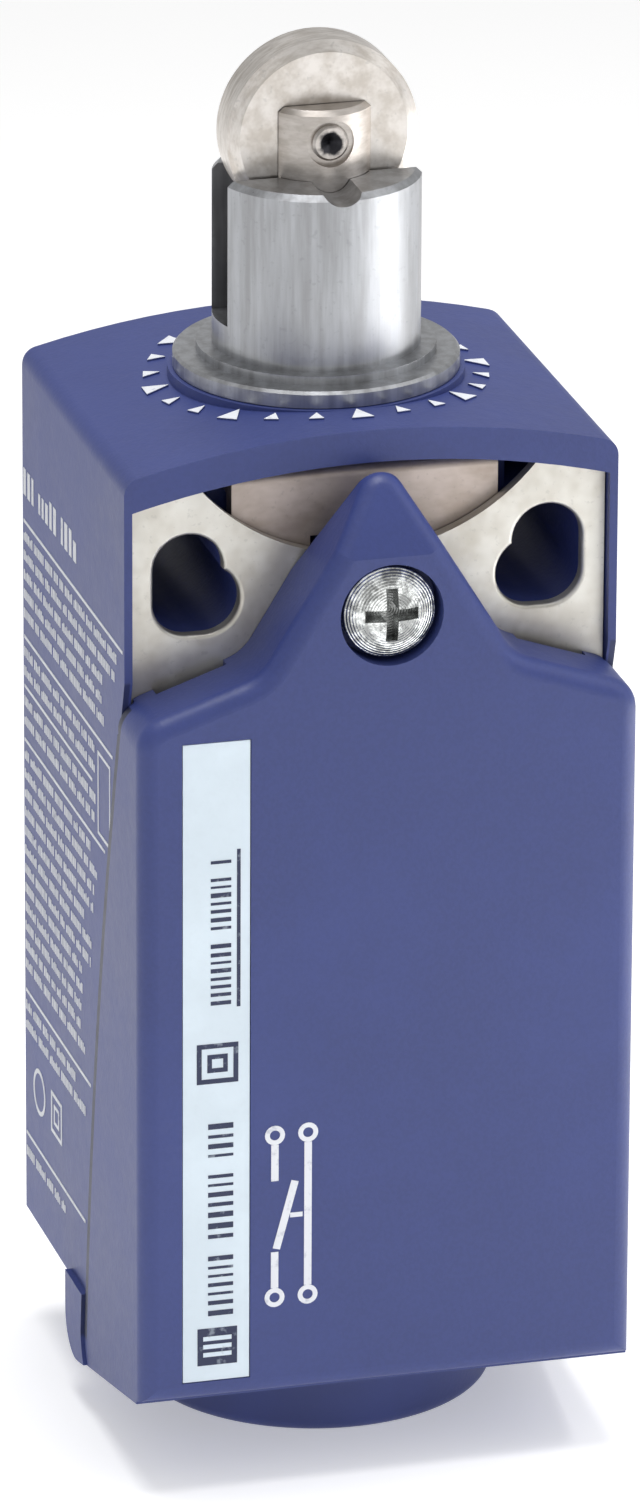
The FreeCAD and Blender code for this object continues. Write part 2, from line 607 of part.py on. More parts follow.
def mounting_plate():
    """Metal plate behind the hood, with the two fixing holes."""
    half = HALF - RIM - PLATE_GAP
    y = (PLATE_FRONT_Y, PLATE_BACK_Y)
    sheet = box((-half, half), y, (FIXING_Z - PLATE_BELOW, FIXING_Z + PLATE_ABOVE))
    limit = arched(half, FIXING_Z - PLATE_BELOW, WALL + PLATE_GAP, y)
    plate = sheet.common(limit)
    plate = plate.cut(round_y(PLATE_ARC_RADIUS, (y[0] - 1, y[1] + 1), 0, FIXING_Z + PLATE_ARC_RISE))
    for side in (-1, 1):
        plate = plate.cut(fixing_hole(side, FIXING_RADIUS, (y[0] - 1, y[1] + 1)))
    inner_x = FIXING_SPACING / 2 - FIXING_DIAMETER
    low_z = FIXING_Z - FIXING_DIAMETER
    high_z = FIXING_Z + FIXING_DIAMETER + SLOT_RISE / 2
    plate = rounded(plate, PLATE_HOLE_ROUND,
                    lambda b: b.YMax < y[0] + 0.01 and b.ZMin > low_z and b.ZMax < high_z
                    and inner_x < abs(b.Center.x) < half - 0.1)
    notch_half = SCREW_CORE_RADIUS + PLATE_NOTCH_GAP
    notch = join(
        box((-notch_half, notch_half), (y[0] - 1, y[1] + 1), (FIXING_Z, FIXING_Z + PLATE_ABOVE)),
        round_y(notch_half, (y[0] - 1, y[1] + 1), 0, FIXING_Z),
    )
    return plate.cut(notch)


def head_lock_fork():
    """Fork in the spigot's groove, with a tab bent down behind the plate."""
    tab_front_y = PLATE_BACK_Y + PLATE_GAP
    blade = box((-FORK_HALF_WIDTH, FORK_HALF_WIDTH), (tab_front_y, FORK_PRONG_END_Y),
                (FORK_BOTTOM_Z, FORK_TOP_Z))
    bite = SPIGOT_GROOVE_RADIUS + FORK_GAP
    z = (FORK_BOTTOM_Z - 1, FORK_TOP_Z + 1)
    mouth = join(round_z(bite, z), box((-bite, bite), (0, FORK_PRONG_END_Y + 1), z))
    corner_x = FORK_HALF_WIDTH - FORK_TAB_CORNER_WIDTH
    notch_x = INSERT_BOSS_HALF + 2 * FORK_TAB_GAP
    low_z = FIXING_Z + WEB_HALF_HEIGHT + FORK_TAB_GAP
    notch_z = FIXING_Z + INSERT_BOSS_HALF + FORK_TAB_GAP
    right = [
        (notch_x, notch_z),
        (notch_x, low_z),
        (corner_x, low_z),
        (FORK_HALF_WIDTH, low_z + FORK_TAB_CORNER_RISE),
        (FORK_HALF_WIDTH, FORK_TOP_Z),
    ]
    left = [(-x, z) for x, z in reversed(right)]
    tab = prism_y(right + left, (tab_front_y, tab_front_y + FORK_TAB_THICKNESS))
    fork = join(blade.cut(mouth), tab)
    return rounded(fork, FORK_BEND_ROUND,
                   lambda b: b.YMax < tab_front_y + 0.01 and b.ZMin > FORK_TOP_Z - 0.01)


# ---- cover -----------------------------------------------------------------
def cover_front():
    """Solid of the cover's front: box, shoulders and tongue, edges rounded."""
    side_z = SHOULDER_Z - SHOULDER_FALL
    tip_z = FIXING_Z + TONGUE_TIP_RISE
    lean = sharp_tip_lean(tip_z)
    sharp_z = SHOULDER_Z + TONGUE_FOOT_HALF / math.tan(lean)
    y = (COVER_FRONT_Y, COVER_SEAT_Y)
    blank = prism_y(
        [
            (-COVER_HALF, CHIN_FRONT_Z),
            (COVER_HALF, CHIN_FRONT_Z),
            (COVER_HALF, side_z),
            (TONGUE_FOOT_HALF, SHOULDER_Z),
            (0, sharp_z),
            (-TONGUE_FOOT_HALF, SHOULDER_Z),
            (-COVER_HALF, side_z),
        ],
        y,
    )

    def upright(x, z):
        return lambda b: b.YLength > 1 and abs(abs(b.Center.x) - x) < 0.01 and abs(b.Center.z - z) < 0.01

    blank = rounded(blank, TONGUE_FOOT_ROUND, upright(TONGUE_FOOT_HALF, SHOULDER_Z))
    blank = rounded(blank, TONGUE_TIP_RADIUS, upright(0, sharp_z))
    blank = rounded(blank, SHOULDER_CORNER_ROUND, upright(COVER_HALF, side_z))
    ramp = prism_x(
        [
            (COVER_FRONT_Y - 1, FIXING_Z + TONGUE_RAMP_RISE),
            (COVER_FRONT_Y, FIXING_Z + TONGUE_RAMP_RISE),
            (COVER_FRONT_Y + TONGUE_TIP_SETBACK, tip_z),
            (COVER_FRONT_Y + TONGUE_TIP_SETBACK, tip_z + 1),
            (COVER_FRONT_Y - 1, tip_z + 1),
        ],
        (-TONGUE_FOOT_HALF, TONGUE_FOOT_HALF),
    )
    blank = rounded(blank.cut(ramp), COVER_EDGE_ROUND,
                    lambda b: b.YMax < COVER_FRONT_Y + TONGUE_TIP_SETBACK + 0.01
                    and b.ZMin > CHIN_FRONT_Z - 0.01 and not middle_crease(b))
    relief = prism_x(
        [
            (COVER_SEAT_Y, FIXING_Z + TONGUE_RELIEF_RISE),
            (COVER_FRONT_Y + TONGUE_TIP_SETBACK + TONGUE_TIP_THICKNESS, tip_z),
            (COVER_FRONT_Y + TONGUE_TIP_SETBACK + TONGUE_TIP_THICKNESS, tip_z + 1),
            (COVER_SEAT_Y + 1, tip_z + 1),
            (COVER_SEAT_Y + 1, FIXING_Z + TONGUE_RELIEF_RISE),
        ],
        (-TONGUE_FOOT_HALF, TONGUE_FOOT_HALF),
    )
    return blank.cut(relief)


def middle_crease(b):
    """True for the edge across the tongue where its front starts to lean back."""
    return b.ZLength < 0.01 and abs(b.Center.z - FIXING_Z - TONGUE_RAMP_RISE) < 0.01


def sharp_tip_lean(tip_z):
    """Angle between the tongue's side and the upright, for a tip of a given radius.

    The side starts at the shoulder's corner and touches the tip's circle.
    """
    rise = tip_z - TONGUE_TIP_RADIUS - SHOULDER_Z
    reach = math.hypot(TONGUE_FOOT_HALF, rise)
    return math.atan2(TONGUE_FOOT_HALF, rise) - math.asin(TONGUE_TIP_RADIUS / reach)


def cover_shell():
    """Cover with its skirts and underside, hollow behind."""
    reach_y = (COVER_FRONT_Y + COVER_EDGE_ROUND, PARTING_FOOT_Y + 1)
    profile = [
        (COVER_FRONT_Y, CHIN_FRONT_Z),
        (reach_y[1], chin_z(reach_y[1])),
        (reach_y[1], PARTING_TOP_Z),
        (COVER_FRONT_Y, PARTING_TOP_Z),
    ]
    side_z = SHOULDER_Z - SHOULDER_FALL
    skirt_top = prism_y(
        [
            (-COVER_HALF, 0),
            (COVER_HALF, 0),
            (COVER_HALF, side_z - SHOULDER_CORNER_ROUND),
            (COVER_HALF - SHOULDER_CORNER_ROUND, side_z),
            (-COVER_HALF + SHOULDER_CORNER_ROUND, side_z),
            (-COVER_HALF, side_z - SHOULDER_CORNER_ROUND),
        ],
        reach_y,
    )
    skirts = prism_x(profile, (-COVER_HALF, COVER_HALF)).common(skirt_top)
    skirts = skirts.common(ahead_of_parting(PARTING_GAP))
    inner_front_y = COVER_FRONT_Y + COVER_WALL
    hollow = prism_x(
        [
            (inner_front_y, chin_z(inner_front_y) + COVER_WALL),
            (reach_y[1], chin_z(reach_y[1]) + COVER_WALL),
            (reach_y[1], side_z - COVER_WALL),
            (inner_front_y, side_z - COVER_WALL),
        ],
        (-COVER_INNER_HALF, COVER_INNER_HALF),
    )
    over_plate = box((-HALF, HALF), (COVER_SEAT_Y, 0), (FIXING_Z - PLATE_BELOW - 1, FIXING_Z))
    rim_room = box((HALF - RIM - SIDE_GAP, COVER_HALF + 1), (COVER_FRONT_Y, 0),
                   (side_z - RIM_ROOM_DROP, PARTING_TOP_Z))
    rim_room = rim_room.cut(ahead_of_parting(PARTING_GAP))
    shell = join(cover_front(), skirts)
    for tool in (hollow, over_plate, rim_room, mirrored(rim_room)):
        shell = shell.cut(tool)
    return shell


def cover():
    """Front cover with tongue, label recess, screw seat and hinge studs."""
    stud_x = (COVER_INNER_HALF - SIDE_GAP - HINGE_LUG_THICKNESS, COVER_INNER_HALF + 0.5)
    stud = round_x(HINGE_STUD_RADIUS, stud_x, HINGE_Y, HINGE_Z)
    lug_slot = box(
        (stud_x[0] - SIDE_GAP, COVER_INNER_HALF),
        (HINGE_Y - HINGE_LUG_RADIUS - 2 * SIDE_GAP, PARTING_FOOT_Y + 2),
        (0, HINGE_Z + HINGE_LUG_RADIUS),
    )
    tools = [
        round_z(ENTRY_BOSS_RADIUS + ENTRY_LIP_GAP, (0, FLOOR_Z + 1)),
        lug_slot,
        mirrored(lug_slot),
        round_y(COUNTERBORE_RADIUS, (COVER_FRONT_Y - 1, SCREW_SEAT_Y), 0, FIXING_Z),
        round_y(SCREW_CORE_RADIUS + SCREW_HOLE_GAP, (COVER_FRONT_Y, PLATE_FRONT_Y), 0, FIXING_Z),
        round_y(RETAINER_RADIUS + RETAINER_GAP,
                (COVER_SEAT_Y - RETAINER_THICKNESS - RETAINER_GAP, PLATE_FRONT_Y), 0, FIXING_Z),
        label_blank(LABEL_GAP, COVER_FRONT_Y + LABEL_RECESS),
        pry_slot(),
        mirrored(pry_slot()),
        gasket_ring(),
    ]
    body = cover_shell()
    for tool in tools:
        body = body.cut(tool)
    return join(body, stud, mirrored(stud))


def pry_slot():
    """Shallow slot behind the right shoulder, for lifting the cover."""
    return box((PRY_SLOT_FROM, PRY_SLOT_TO), (COVER_SEAT_Y - PRY_SLOT_DEPTH, COVER_SEAT_Y + 1),
               (SHOULDER_Z - PRY_SLOT_DROP, SHOULDER_Z + 1))


def label_blank(margin, back_y):
    """Label's outline, grown by a margin, back to a given depth."""
    half = LABEL_WIDTH / 2 + margin
    return box((LABEL_CENTRE_X - half, LABEL_CENTRE_X + half), (COVER_FRONT_Y - 1, back_y),
               (LABEL_BOTTOM_Z - margin, LABEL_BOTTOM_Z + LABEL_HEIGHT + margin))


def label():
    """Pale strip let into the cover's front."""
    blank = label_blank(0, COVER_FRONT_Y + LABEL_RECESS)
    face_y = COVER_FRONT_Y + LABEL_RECESS - LABEL_THICKNESS
    front = box((-COVER_HALF, COVER_HALF), (COVER_FRONT_Y - 2, face_y), (0, ROOF_Z))
    return blank.cut(front)


def gasket_ring():
    """Seal in the rear edge of the cover: two bowed sides and a bar across the top."""
    back = ahead_of_parting(HEAD_GAP)
    front = ahead_of_parting(PARTING_GAP + SEAL_DEPTH)
    strip_x = (COVER_INNER_HALF + SEAL_INSET, COVER_INNER_HALF + SEAL_INSET + SEAL_WIDTH)
    side_z = SHOULDER_Z - SHOULDER_FALL
    top_z = side_z - SHOULDER_CORNER_ROUND + SEAL_TOP_RISE
    side = back.cut(front).common(box(strip_x, (COVER_FRONT_Y, 0), (FLOOR_Z + 1, top_z)))
    bar = box((-strip_x[1], strip_x[1]), (COVER_SEAT_Y - SEAL_BAR_DEPTH, COVER_SEAT_Y),
              (top_z - SEAL_WIDTH, top_z))
    return join(side, mirrored(side), bar)


def cover_gasket():
    """The rubber seal itself."""
    return gasket_ring()


def cover_screw():
    """Captive screw through the tongue."""
    return pan_screw(0, FIXING_Z, SCREW_SEAT_Y, SCREW_TIP_Y, SCREW_HEAD_RADIUS,
                     SCREW_HEAD_HEIGHT, SCREW_CORE_RADIUS)


def screw_retainer():
    """Ring on the screw, behind the tongue, that keeps it in the cover."""
    y = (COVER_SEAT_Y - RETAINER_THICKNESS, COVER_SEAT_Y)
    return round_y(RETAINER_RADIUS, y, 0, FIXING_Z).cut(round_y(SCREW_CORE_RADIUS, y, 0, FIXING_Z))


# ---- cable entry -----------------------------------------------------------
def cable_entry():
    """Entry insert that slides into the floor from the front, tapped for a gland."""
    flange_z = INNER_FLOOR_Z + ENTRY_GASKET_THICKNESS + ENTRY_GAP
    boss = round_z(ENTRY_BOSS_RADIUS, (0, FLOOR_Z - ENTRY_GAP))
    boss = rounded(boss, ENTRY_EDGE_ROUND, lambda b: b.ZMax < 0.01)
    neck = round_z(ENTRY_NECK_RADIUS, (FLOOR_Z - 1, flange_z + 0.5))
    flats = box((-ENTRY_NECK_RADIUS, ENTRY_NECK_RADIUS), (-ENTRY_NECK_RADIUS / 2, 0),
                (FLOOR_Z - 0.5, flange_z + 0.5))
    flange = round_z(ENTRY_FLANGE_RADIUS, (flange_z, flange_z + ENTRY_FLANGE_THICKNESS))
    collar = round_z(ENTRY_NECK_RADIUS - ENTRY_COLLAR_STEP, (flange_z, ENTRY_HEIGHT))
    bore = round_z(THREAD_RADIUS, (-1, ENTRY_HEIGHT + 1))
    return join(boss, neck, flats, flange, collar).cut(bore)


def entry_gasket():
    """Flat seal between the entry's flange and the housing floor."""
    z = (INNER_FLOOR_Z, INNER_FLOOR_Z + ENTRY_GASKET_THICKNESS)
    half = ENTRY_NECK_RADIUS + ENTRY_GAP
    hole = join(round_z(half, z), box((-half, half), (-ENTRY_NECK_RADIUS / 2 - ENTRY_GAP, 0), z))
    return round_z(ENTRY_FLANGE_RADIUS, z).cut(hole)


# ---- head ------------------------------------------------------------------
def head_bush():
    """Turned steel bush: spigot with a groove, collar, step and barrel."""
    groove = (FORK_BOTTOM_Z - FORK_GAP, FORK_TOP_Z + FORK_GAP)
    step_top_z = COLLAR_TOP_Z + STEP_THICKNESS
    body = turned_z([
        (0, SPIGOT_BOTTOM_Z),
        (SPIGOT_RADIUS - BUSH_CHAMFER, SPIGOT_BOTTOM_Z),
        (SPIGOT_RADIUS, SPIGOT_BOTTOM_Z + BUSH_CHAMFER),
        (SPIGOT_RADIUS, groove[0]),
        (SPIGOT_GROOVE_RADIUS, groove[0]),
        (SPIGOT_GROOVE_RADIUS, groove[1]),
        (SPIGOT_RADIUS, groove[1]),
        (SPIGOT_RADIUS, COLLAR_Z),
        (COLLAR_RADIUS, COLLAR_Z),
        (COLLAR_RADIUS, COLLAR_TOP_Z - BUSH_CHAMFER / 2),
        (COLLAR_RADIUS - BUSH_CHAMFER / 2, COLLAR_TOP_Z),
        (STEP_RADIUS, COLLAR_TOP_Z),
        (STEP_RADIUS, step_top_z),
        (BUSH_RADIUS, step_top_z),
        (BUSH_RADIUS, BUSH_TOP_Z - BUSH_CHAMFER),
        (BUSH_RADIUS - BUSH_CHAMFER, BUSH_TOP_Z),
        (0, BUSH_TOP_Z),
    ])
    pocket_half = ROLLER_WIDTH / 2 + POCKET_SIDE_GAP
    pocket_z = (POCKET_BOTTOM_Z, BUSH_TOP_Z + 1)
    pocket = box((-BUSH_RADIUS - 1, BUSH_RADIUS + 1), (-pocket_half, pocket_half), pocket_z)
    wiper_z = (ROOF_Z + WIPER_RISE, ROOF_Z + WIPER_RISE + WIPER_THICKNESS)
    rim_notch = round_y(RIM_NOTCH_RADIUS, (-BUSH_RADIUS - 1, BUSH_RADIUS + 1), 0,
                        BUSH_TOP_Z + RIM_NOTCH_RISE)
    tools = [
        round_z(PLUNGER_RADIUS + PLUNGER_GAP, (FLANGE_TOP_Z - 1, BUSH_TOP_Z + 1)),
        round_z(SPRING_BORE_RADIUS, (SPIGOT_BOTTOM_Z - 1, FLANGE_TOP_Z)),
        round_z(WIPER_RADIUS, wiper_z),
        pocket,
        rim_notch,
    ]
    for tool in tools:
        body = body.cut(tool)
    return body


def head_gasket():
    """Flat ring under the collar."""
    return ring_z(HEAD_GASKET_OUTER, HEAD_GASKET_INNER, (ROOF_Z - HEAD_GASKET_THICKNESS, ROOF_Z))


def wiper_seal():
    """Lip ring in the bush, round the plunger."""
    low_z = ROOF_Z + WIPER_RISE
    lip = PLUNGER_RADIUS + PLUNGER_GAP
    return turned_z([
        (lip + WIPER_LIP_TAPER, low_z),
        (WIPER_RADIUS, low_z),
        (WIPER_RADIUS, low_z + WIPER_THICKNESS),
        (lip, low_z + WIPER_THICKNESS),
        (lip, low_z + WIPER_THICKNESS - WIPER_LIP_LAND),
    ])


def spring_cap():
    """Ring pressed into the spigot's end, under the spring."""
    return ring_z(SPRING_BORE_RADIUS, ROD_RADIUS + CAP_BORE_GAP, (SPIGOT_BOTTOM_Z, CAP_TOP_Z))


def plunger_spring():
    """Return spring round the plunger's rod."""
    radius = (SPRING_BORE_RADIUS + ROD_RADIUS) / 2
    return coil(radius, PLUNGER_SPRING_WIRE, PLUNGER_SPRING_TURNS, 0, 0, (CAP_TOP_Z, FLANGE_BOTTOM_Z))


def plunger():
    """Plunger with rod, stop flange and two ears for the roller."""
    top_z = ROLLER_Z + EAR_RISE
    body = turned_z([
        (0, ROD_TIP_Z),
        (ROD_RADIUS - PLUNGER_CHAMFER, ROD_TIP_Z),
        (ROD_RADIUS, ROD_TIP_Z + PLUNGER_CHAMFER),
        (ROD_RADIUS, FLANGE_BOTTOM_Z),
        (FLANGE_RADIUS, FLANGE_BOTTOM_Z),
        (FLANGE_RADIUS, FLANGE_TOP_Z - HEAD_GAP),
        (PLUNGER_RADIUS, FLANGE_TOP_Z - HEAD_GAP),
        (PLUNGER_RADIUS, top_z - PLUNGER_CHAMFER),
        (PLUNGER_RADIUS - PLUNGER_CHAMFER, top_z),
        (0, top_z),
    ])
    slot = box((-PLUNGER_RADIUS - 1, PLUNGER_RADIUS + 1), (-ROLLER_SLOT_HALF, ROLLER_SLOT_HALF),
               (SLOT_BOTTOM_Z, top_z + 1))
    hole = round_y(AXLE_RADIUS, (-PLUNGER_RADIUS - 1, PLUNGER_RADIUS + 1), 0, ROLLER_Z)
    sink_y = AXLE_LENGTH / 2 - AXLE_SINK
    sinks = [round_y(AXLE_RADIUS + AXLE_SINK, (low, low + 1), 0, ROLLER_Z)
             for low in (sink_y, -sink_y - 1)]
    return body.cut(slot).cut(hole).cut(sinks[0]).cut(sinks[1])


def roller():
    """Steel roller with bevelled rims and a plain bore."""
    half = ROLLER_WIDTH / 2
    rim = ROLLER_RADIUS - 2 * ROLLER_BEVEL
    bore = AXLE_RADIUS + PLUNGER_GAP
    return turned_y([
        (bore, -half),
        (rim, -half),
        (ROLLER_RADIUS, -half + ROLLER_BEVEL),
        (ROLLER_RADIUS, half - ROLLER_BEVEL),
        (rim, half),
        (bore, half),
    ], ROLLER_Z)


def roller_axle():
    """Pin through ears and roller, dimpled at both ends where it is peened."""
    half = AXLE_LENGTH / 2
    return turned_y([
        (0, -half + AXLE_DIMPLE_DEPTH),
        (AXLE_DIMPLE_RADIUS, -half),
        (AXLE_RADIUS - AXLE_CHAMFER, -half),
        (AXLE_RADIUS, -half + AXLE_CHAMFER),
        (AXLE_RADIUS, half - AXLE_CHAMFER),
        (AXLE_RADIUS - AXLE_CHAMFER, half),
        (AXLE_DIMPLE_RADIUS, half),
        (0, half - AXLE_DIMPLE_DEPTH),
    ], ROLLER_Z)


# ---- contact block ---------------------------------------------------------
def contact_block_base():
    """Moulded tray of the contact block, open to the front."""
    outer = box((-BLOCK_HALF, BLOCK_HALF), (BLOCK_LID_BACK_Y, BLOCK_BACK_Y),
                (BLOCK_BOTTOM_Z, BLOCK_TOP_Z))
    hollow = box((-BLOCK_HALF + BLOCK_WALL, BLOCK_HALF - BLOCK_WALL),
                 (BLOCK_LID_BACK_Y - 1, BLOCK_BACK_Y - BLOCK_WALL),
                 (BLOCK_FLOOR_Z, BLOCK_TOP_Z - BLOCK_WALL))
    guide = round_z(ACTUATOR_RADIUS + HEAD_GAP, (BLOCK_TOP_Z - BLOCK_WALL - 1, BLOCK_TOP_Z + 1))
    shelves = []
    for z in (NC_STRIP_Z, NO_STRIP_Z - STRIP_THICKNESS):
        low_z = z + STRIP_THICKNESS if z == NC_STRIP_Z else z - BLOCK_WALL
        shelf = box((STRIP_INNER_X + STRIP_SHELF_SETBACK, BLOCK_HALF - BLOCK_WALL + 0.2),
                    (-STRIP_HALF_DEPTH, BLOCK_BACK_Y - BLOCK_WALL + 0.2), (low_z, low_z + BLOCK_WALL))
        shelves += [shelf, mirrored(shelf)]
    return join(outer.cut(hollow), *shelves).cut(guide)


def contact_block_cover():
    """Front lid of the contact block, slotted for the terminal strips and screws."""
    lid = box((-BLOCK_HALF, BLOCK_HALF), (BLOCK_FRONT_Y, BLOCK_LID_BACK_Y), (BLOCK_BOTTOM_Z, BLOCK_TOP_Z))
    for strip_z, screw_z in terminal_levels():
        slot = box((terminal_limits()[0] - BLOCK_GAP, TERMINAL_X + BLOCK_GAP),
                   (BLOCK_FRONT_Y - 1, BLOCK_LID_BACK_Y + 1),
                   (strip_z - BLOCK_GAP, strip_z + STRIP_THICKNESS + BLOCK_GAP))
        hole = round_y(TERMINAL_SHANK_RADIUS + TERMINAL_HOLE_GAP,
                       (BLOCK_FRONT_Y - 1, BLOCK_LID_BACK_Y + 1), TERMINAL_X, screw_z)
        for tool in (slot, hole):
            lid = lid.cut(tool).cut(mirrored(tool))
    return lid


def terminal_limits():
    """Inner and outer side of the right-hand terminal."""
    return (TERMINAL_X - TERMINAL_WIDTH / 2, TERMINAL_X + TERMINAL_WIDTH / 2)


def terminal_levels():
    """Low face of the strip and height of the screw, for the NC and NO pairs."""
    return (
        (NC_STRIP_Z, NC_STRIP_Z + TERMINAL_SCREW_FROM_STRIP),
        (NO_STRIP_Z - STRIP_THICKNESS, NO_STRIP_Z - STRIP_THICKNESS + TERMINAL_SCREW_FROM_STRIP),
    )


def fixed_contacts(strip_z, screw_z, pad_z):
    """A pair of strips, each with a contact disc and a tapped terminal tab."""
    strip = box((STRIP_INNER_X, TERMINAL_X), (-STRIP_HALF_DEPTH, STRIP_HALF_DEPTH),
                (strip_z, strip_z + STRIP_THICKNESS))
    arm = box((terminal_limits()[0], TERMINAL_X), (TERMINAL_FRONT_Y, -STRIP_HALF_DEPTH + 0.1),
              (strip_z, strip_z + STRIP_THICKNESS))
    tab = box(terminal_limits(), (TERMINAL_FRONT_Y, BLOCK_FRONT_Y), (strip_z, strip_z + TERMINAL_HEIGHT))
    disc = round_z(PAD_DISC_RADIUS, (pad_z, pad_z + PAD_DISC_THICKNESS), PAD_X)
    hole = round_y(TERMINAL_SHANK_RADIUS, (TERMINAL_FRONT_Y - 1, BLOCK_FRONT_Y + 1), TERMINAL_X, screw_z)
    return both_sides(join(strip, arm, tab, disc).cut(hole))


def fixed_contacts_nc():
    """Normally closed pair: the discs face down."""
    strip_z, screw_z = terminal_levels()[0]
    return fixed_contacts(strip_z, screw_z, strip_z - PAD_DISC_THICKNESS)


def fixed_contacts_no():
    """Normally open pair: the discs face up."""
    strip_z, screw_z = terminal_levels()[1]
    return fixed_contacts(strip_z, screw_z, strip_z + STRIP_THICKNESS)


def terminal_screws():
    """Four terminal screws, left undone by one wire's thickness."""
    screws = []
    for _, screw_z in terminal_levels():
        for x in (-TERMINAL_X, TERMINAL_X):
            screws.append(pan_screw(x, screw_z, CLAMP_FRONT_Y, TERMINAL_SHANK_END_Y, TERMINAL_HEAD_RADIUS,
                                    TERMINAL_HEAD_HEIGHT, TERMINAL_SHANK_RADIUS))
    return Part.makeCompound(screws)


def terminal_clamps():
    """Four square clamps with turned-back side wings."""
    clamps = []
    half = TERMINAL_WIDTH / 2
    for _, screw_z in terminal_levels():
        for x in (-TERMINAL_X, TERMINAL_X):
            plate = box((x - half, x + half), (CLAMP_FRONT_Y, CLAMP_BACK_Y),
                        (screw_z - CLAMP_HALF_HEIGHT, screw_z + CLAMP_HALF_HEIGHT))
            wing_y = (CLAMP_FRONT_Y - CLAMP_WING_REACH, CLAMP_BACK_Y)
            wing_z = (screw_z - CLAMP_WING_HALF_HEIGHT, screw_z + CLAMP_WING_HALF_HEIGHT)
            left = box((x - half, x - half + CLAMP_WING_THICKNESS), wing_y, wing_z)
            right = box((x + half - CLAMP_WING_THICKNESS, x + half), wing_y, wing_z)
            hole = round_y(TERMINAL_SHANK_RADIUS, (CLAMP_FRONT_Y - 1, CLAMP_BACK_Y + 1), x, screw_z)
            clamps.append(join(plate, left, right).cut(hole))
    return Part.makeCompound(clamps)


def actuator():
    """Slider pushed by the plunger's rod, with a yoke round the contact carrier."""
    bar_top_z = BLOCK_TOP_Z - BLOCK_WALL - YOKE_TOP_GAP
    bar_z = (bar_top_z - YOKE_THICKNESS, bar_top_z)
    stem = round_z(ACTUATOR_RADIUS, (bar_z[0], ACTUATOR_TOP_Z))
    leg_inner = CARRIER_HALF_DEPTH + YOKE_GAP
    leg_outer = leg_inner + YOKE_THICKNESS
    bar = box((-ACTUATOR_RADIUS, ACTUATOR_RADIUS), (-leg_outer, leg_outer), bar_z)
    legs = [box((-ACTUATOR_RADIUS, ACTUATOR_RADIUS), y, (YOKE_FOOT_Z, bar_z[1]))
            for y in ((-leg_outer, -leg_inner), (leg_inner, leg_outer))]
    seat = box((-ACTUATOR_RADIUS, ACTUATOR_RADIUS),
               (leg_inner, RETURN_SPRING_Y + RETURN_SPRING_RADIUS + RETURN_SPRING_WIRE),
               (YOKE_FOOT_Z, YOKE_FOOT_Z + YOKE_THICKNESS))
    return join(stem, bar, legs[0], legs[1], seat)


def actuator_spring():
    """Return spring behind the contact carrier."""
    return coil(RETURN_SPRING_RADIUS, RETURN_SPRING_WIRE, RETURN_SPRING_TURNS, 0, RETURN_SPRING_Y,
                (BLOCK_FLOOR_Z, YOKE_FOOT_Z))


def bridge_windows():
    """Height span of the carrier's windows for the NC and the NO bridge."""
    reach = BRIDGE_THICKNESS + BRIDGE_SPRING_LENGTH + 3 * HEAD_GAP
    return (
        (NC_BRIDGE_TOP_Z + HEAD_GAP - reach, NC_BRIDGE_TOP_Z + HEAD_GAP),
        (NO_BRIDGE_BOTTOM_Z - HEAD_GAP, NO_BRIDGE_BOTTOM_Z - HEAD_GAP + reach),
    )


def contact_carrier():
    """Post with two windows that the contact bridges pass through."""
    post = box((-CARRIER_HALF_WIDTH, CARRIER_HALF_WIDTH), (-CARRIER_HALF_DEPTH, CARRIER_HALF_DEPTH),
               (CARRIER_TOP_Z - CARRIER_HEIGHT, CARRIER_TOP_Z))
    half = BRIDGE_HALF_DEPTH + HEAD_GAP
    for window in bridge_windows():
        post = post.cut(box((-CARRIER_HALF_WIDTH - 1, CARRIER_HALF_WIDTH + 1), (-half, half), window))
    return post


def bridge(bar_z, disc_z):
    """Contact bridge: a bar with a disc near each end."""
    bar = box((-BRIDGE_HALF_LENGTH, BRIDGE_HALF_LENGTH), (-BRIDGE_HALF_DEPTH, BRIDGE_HALF_DEPTH),
              (bar_z, bar_z + BRIDGE_THICKNESS))
    disc_radius = PAD_DISC_RADIUS - BRIDGE_DISC_INSET
    discs = [round_z(disc_radius, (disc_z, disc_z + PAD_DISC_THICKNESS), x) for x in (-PAD_X, PAD_X)]
    return join(bar, *discs)


def bridge_nc():
    """Moving bridge of the normally closed pair, closed at rest."""
    return bridge(NC_BRIDGE_TOP_Z - BRIDGE_THICKNESS, NC_BRIDGE_TOP_Z)


def bridge_no():
    """Moving bridge of the normally open pair, open at rest."""
    return bridge(NO_BRIDGE_BOTTOM_Z, NO_BRIDGE_BOTTOM_Z - PAD_DISC_THICKNESS)


def bridge_springs():
    """Contact pressure springs, one in each window."""
    nc_window, no_window = bridge_windows()
    spans = (
        (nc_window[0] + HEAD_GAP, nc_window[0] + HEAD_GAP + BRIDGE_SPRING_LENGTH),
        (no_window[1] - HEAD_GAP - BRIDGE_SPRING_LENGTH, no_window[1] - HEAD_GAP),
    )
    return Part.makeCompound([
        coil(BRIDGE_SPRING_RADIUS, BRIDGE_SPRING_WIRE, BRIDGE_SPRING_TURNS, 0, 0, span) for span in spans
    ])


SUBPARTS = (
    housing, mounting_plate, head_lock_fork, screw_insert,
    cover, cover_gasket, cover_screw, screw_retainer, label,
    cable_entry, entry_gasket,
    head_bush, head_gasket, wiper_seal, spring_cap, plunger_spring,
    plunger, roller, roller_axle,
    contact_block_base, contact_block_cover, fixed_contacts_nc, fixed_contacts_no,
    terminal_screws, terminal_clamps, actuator, actuator_spring,
    contact_carrier, bridge_nc, bridge_no, bridge_springs,
)


def main():
    """Writes one STEP file for each sub-part."""
    os.makedirs("parts", exist_ok=True)
    for make in SUBPARTS:
        shape = make()
        shape.exportStep(f"parts/{make.__name__}.step")
        print(f"{make.__name__:22s} solids {len(shape.Solids)} volume {shape.Volume:.2f}")


main()
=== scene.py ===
import math

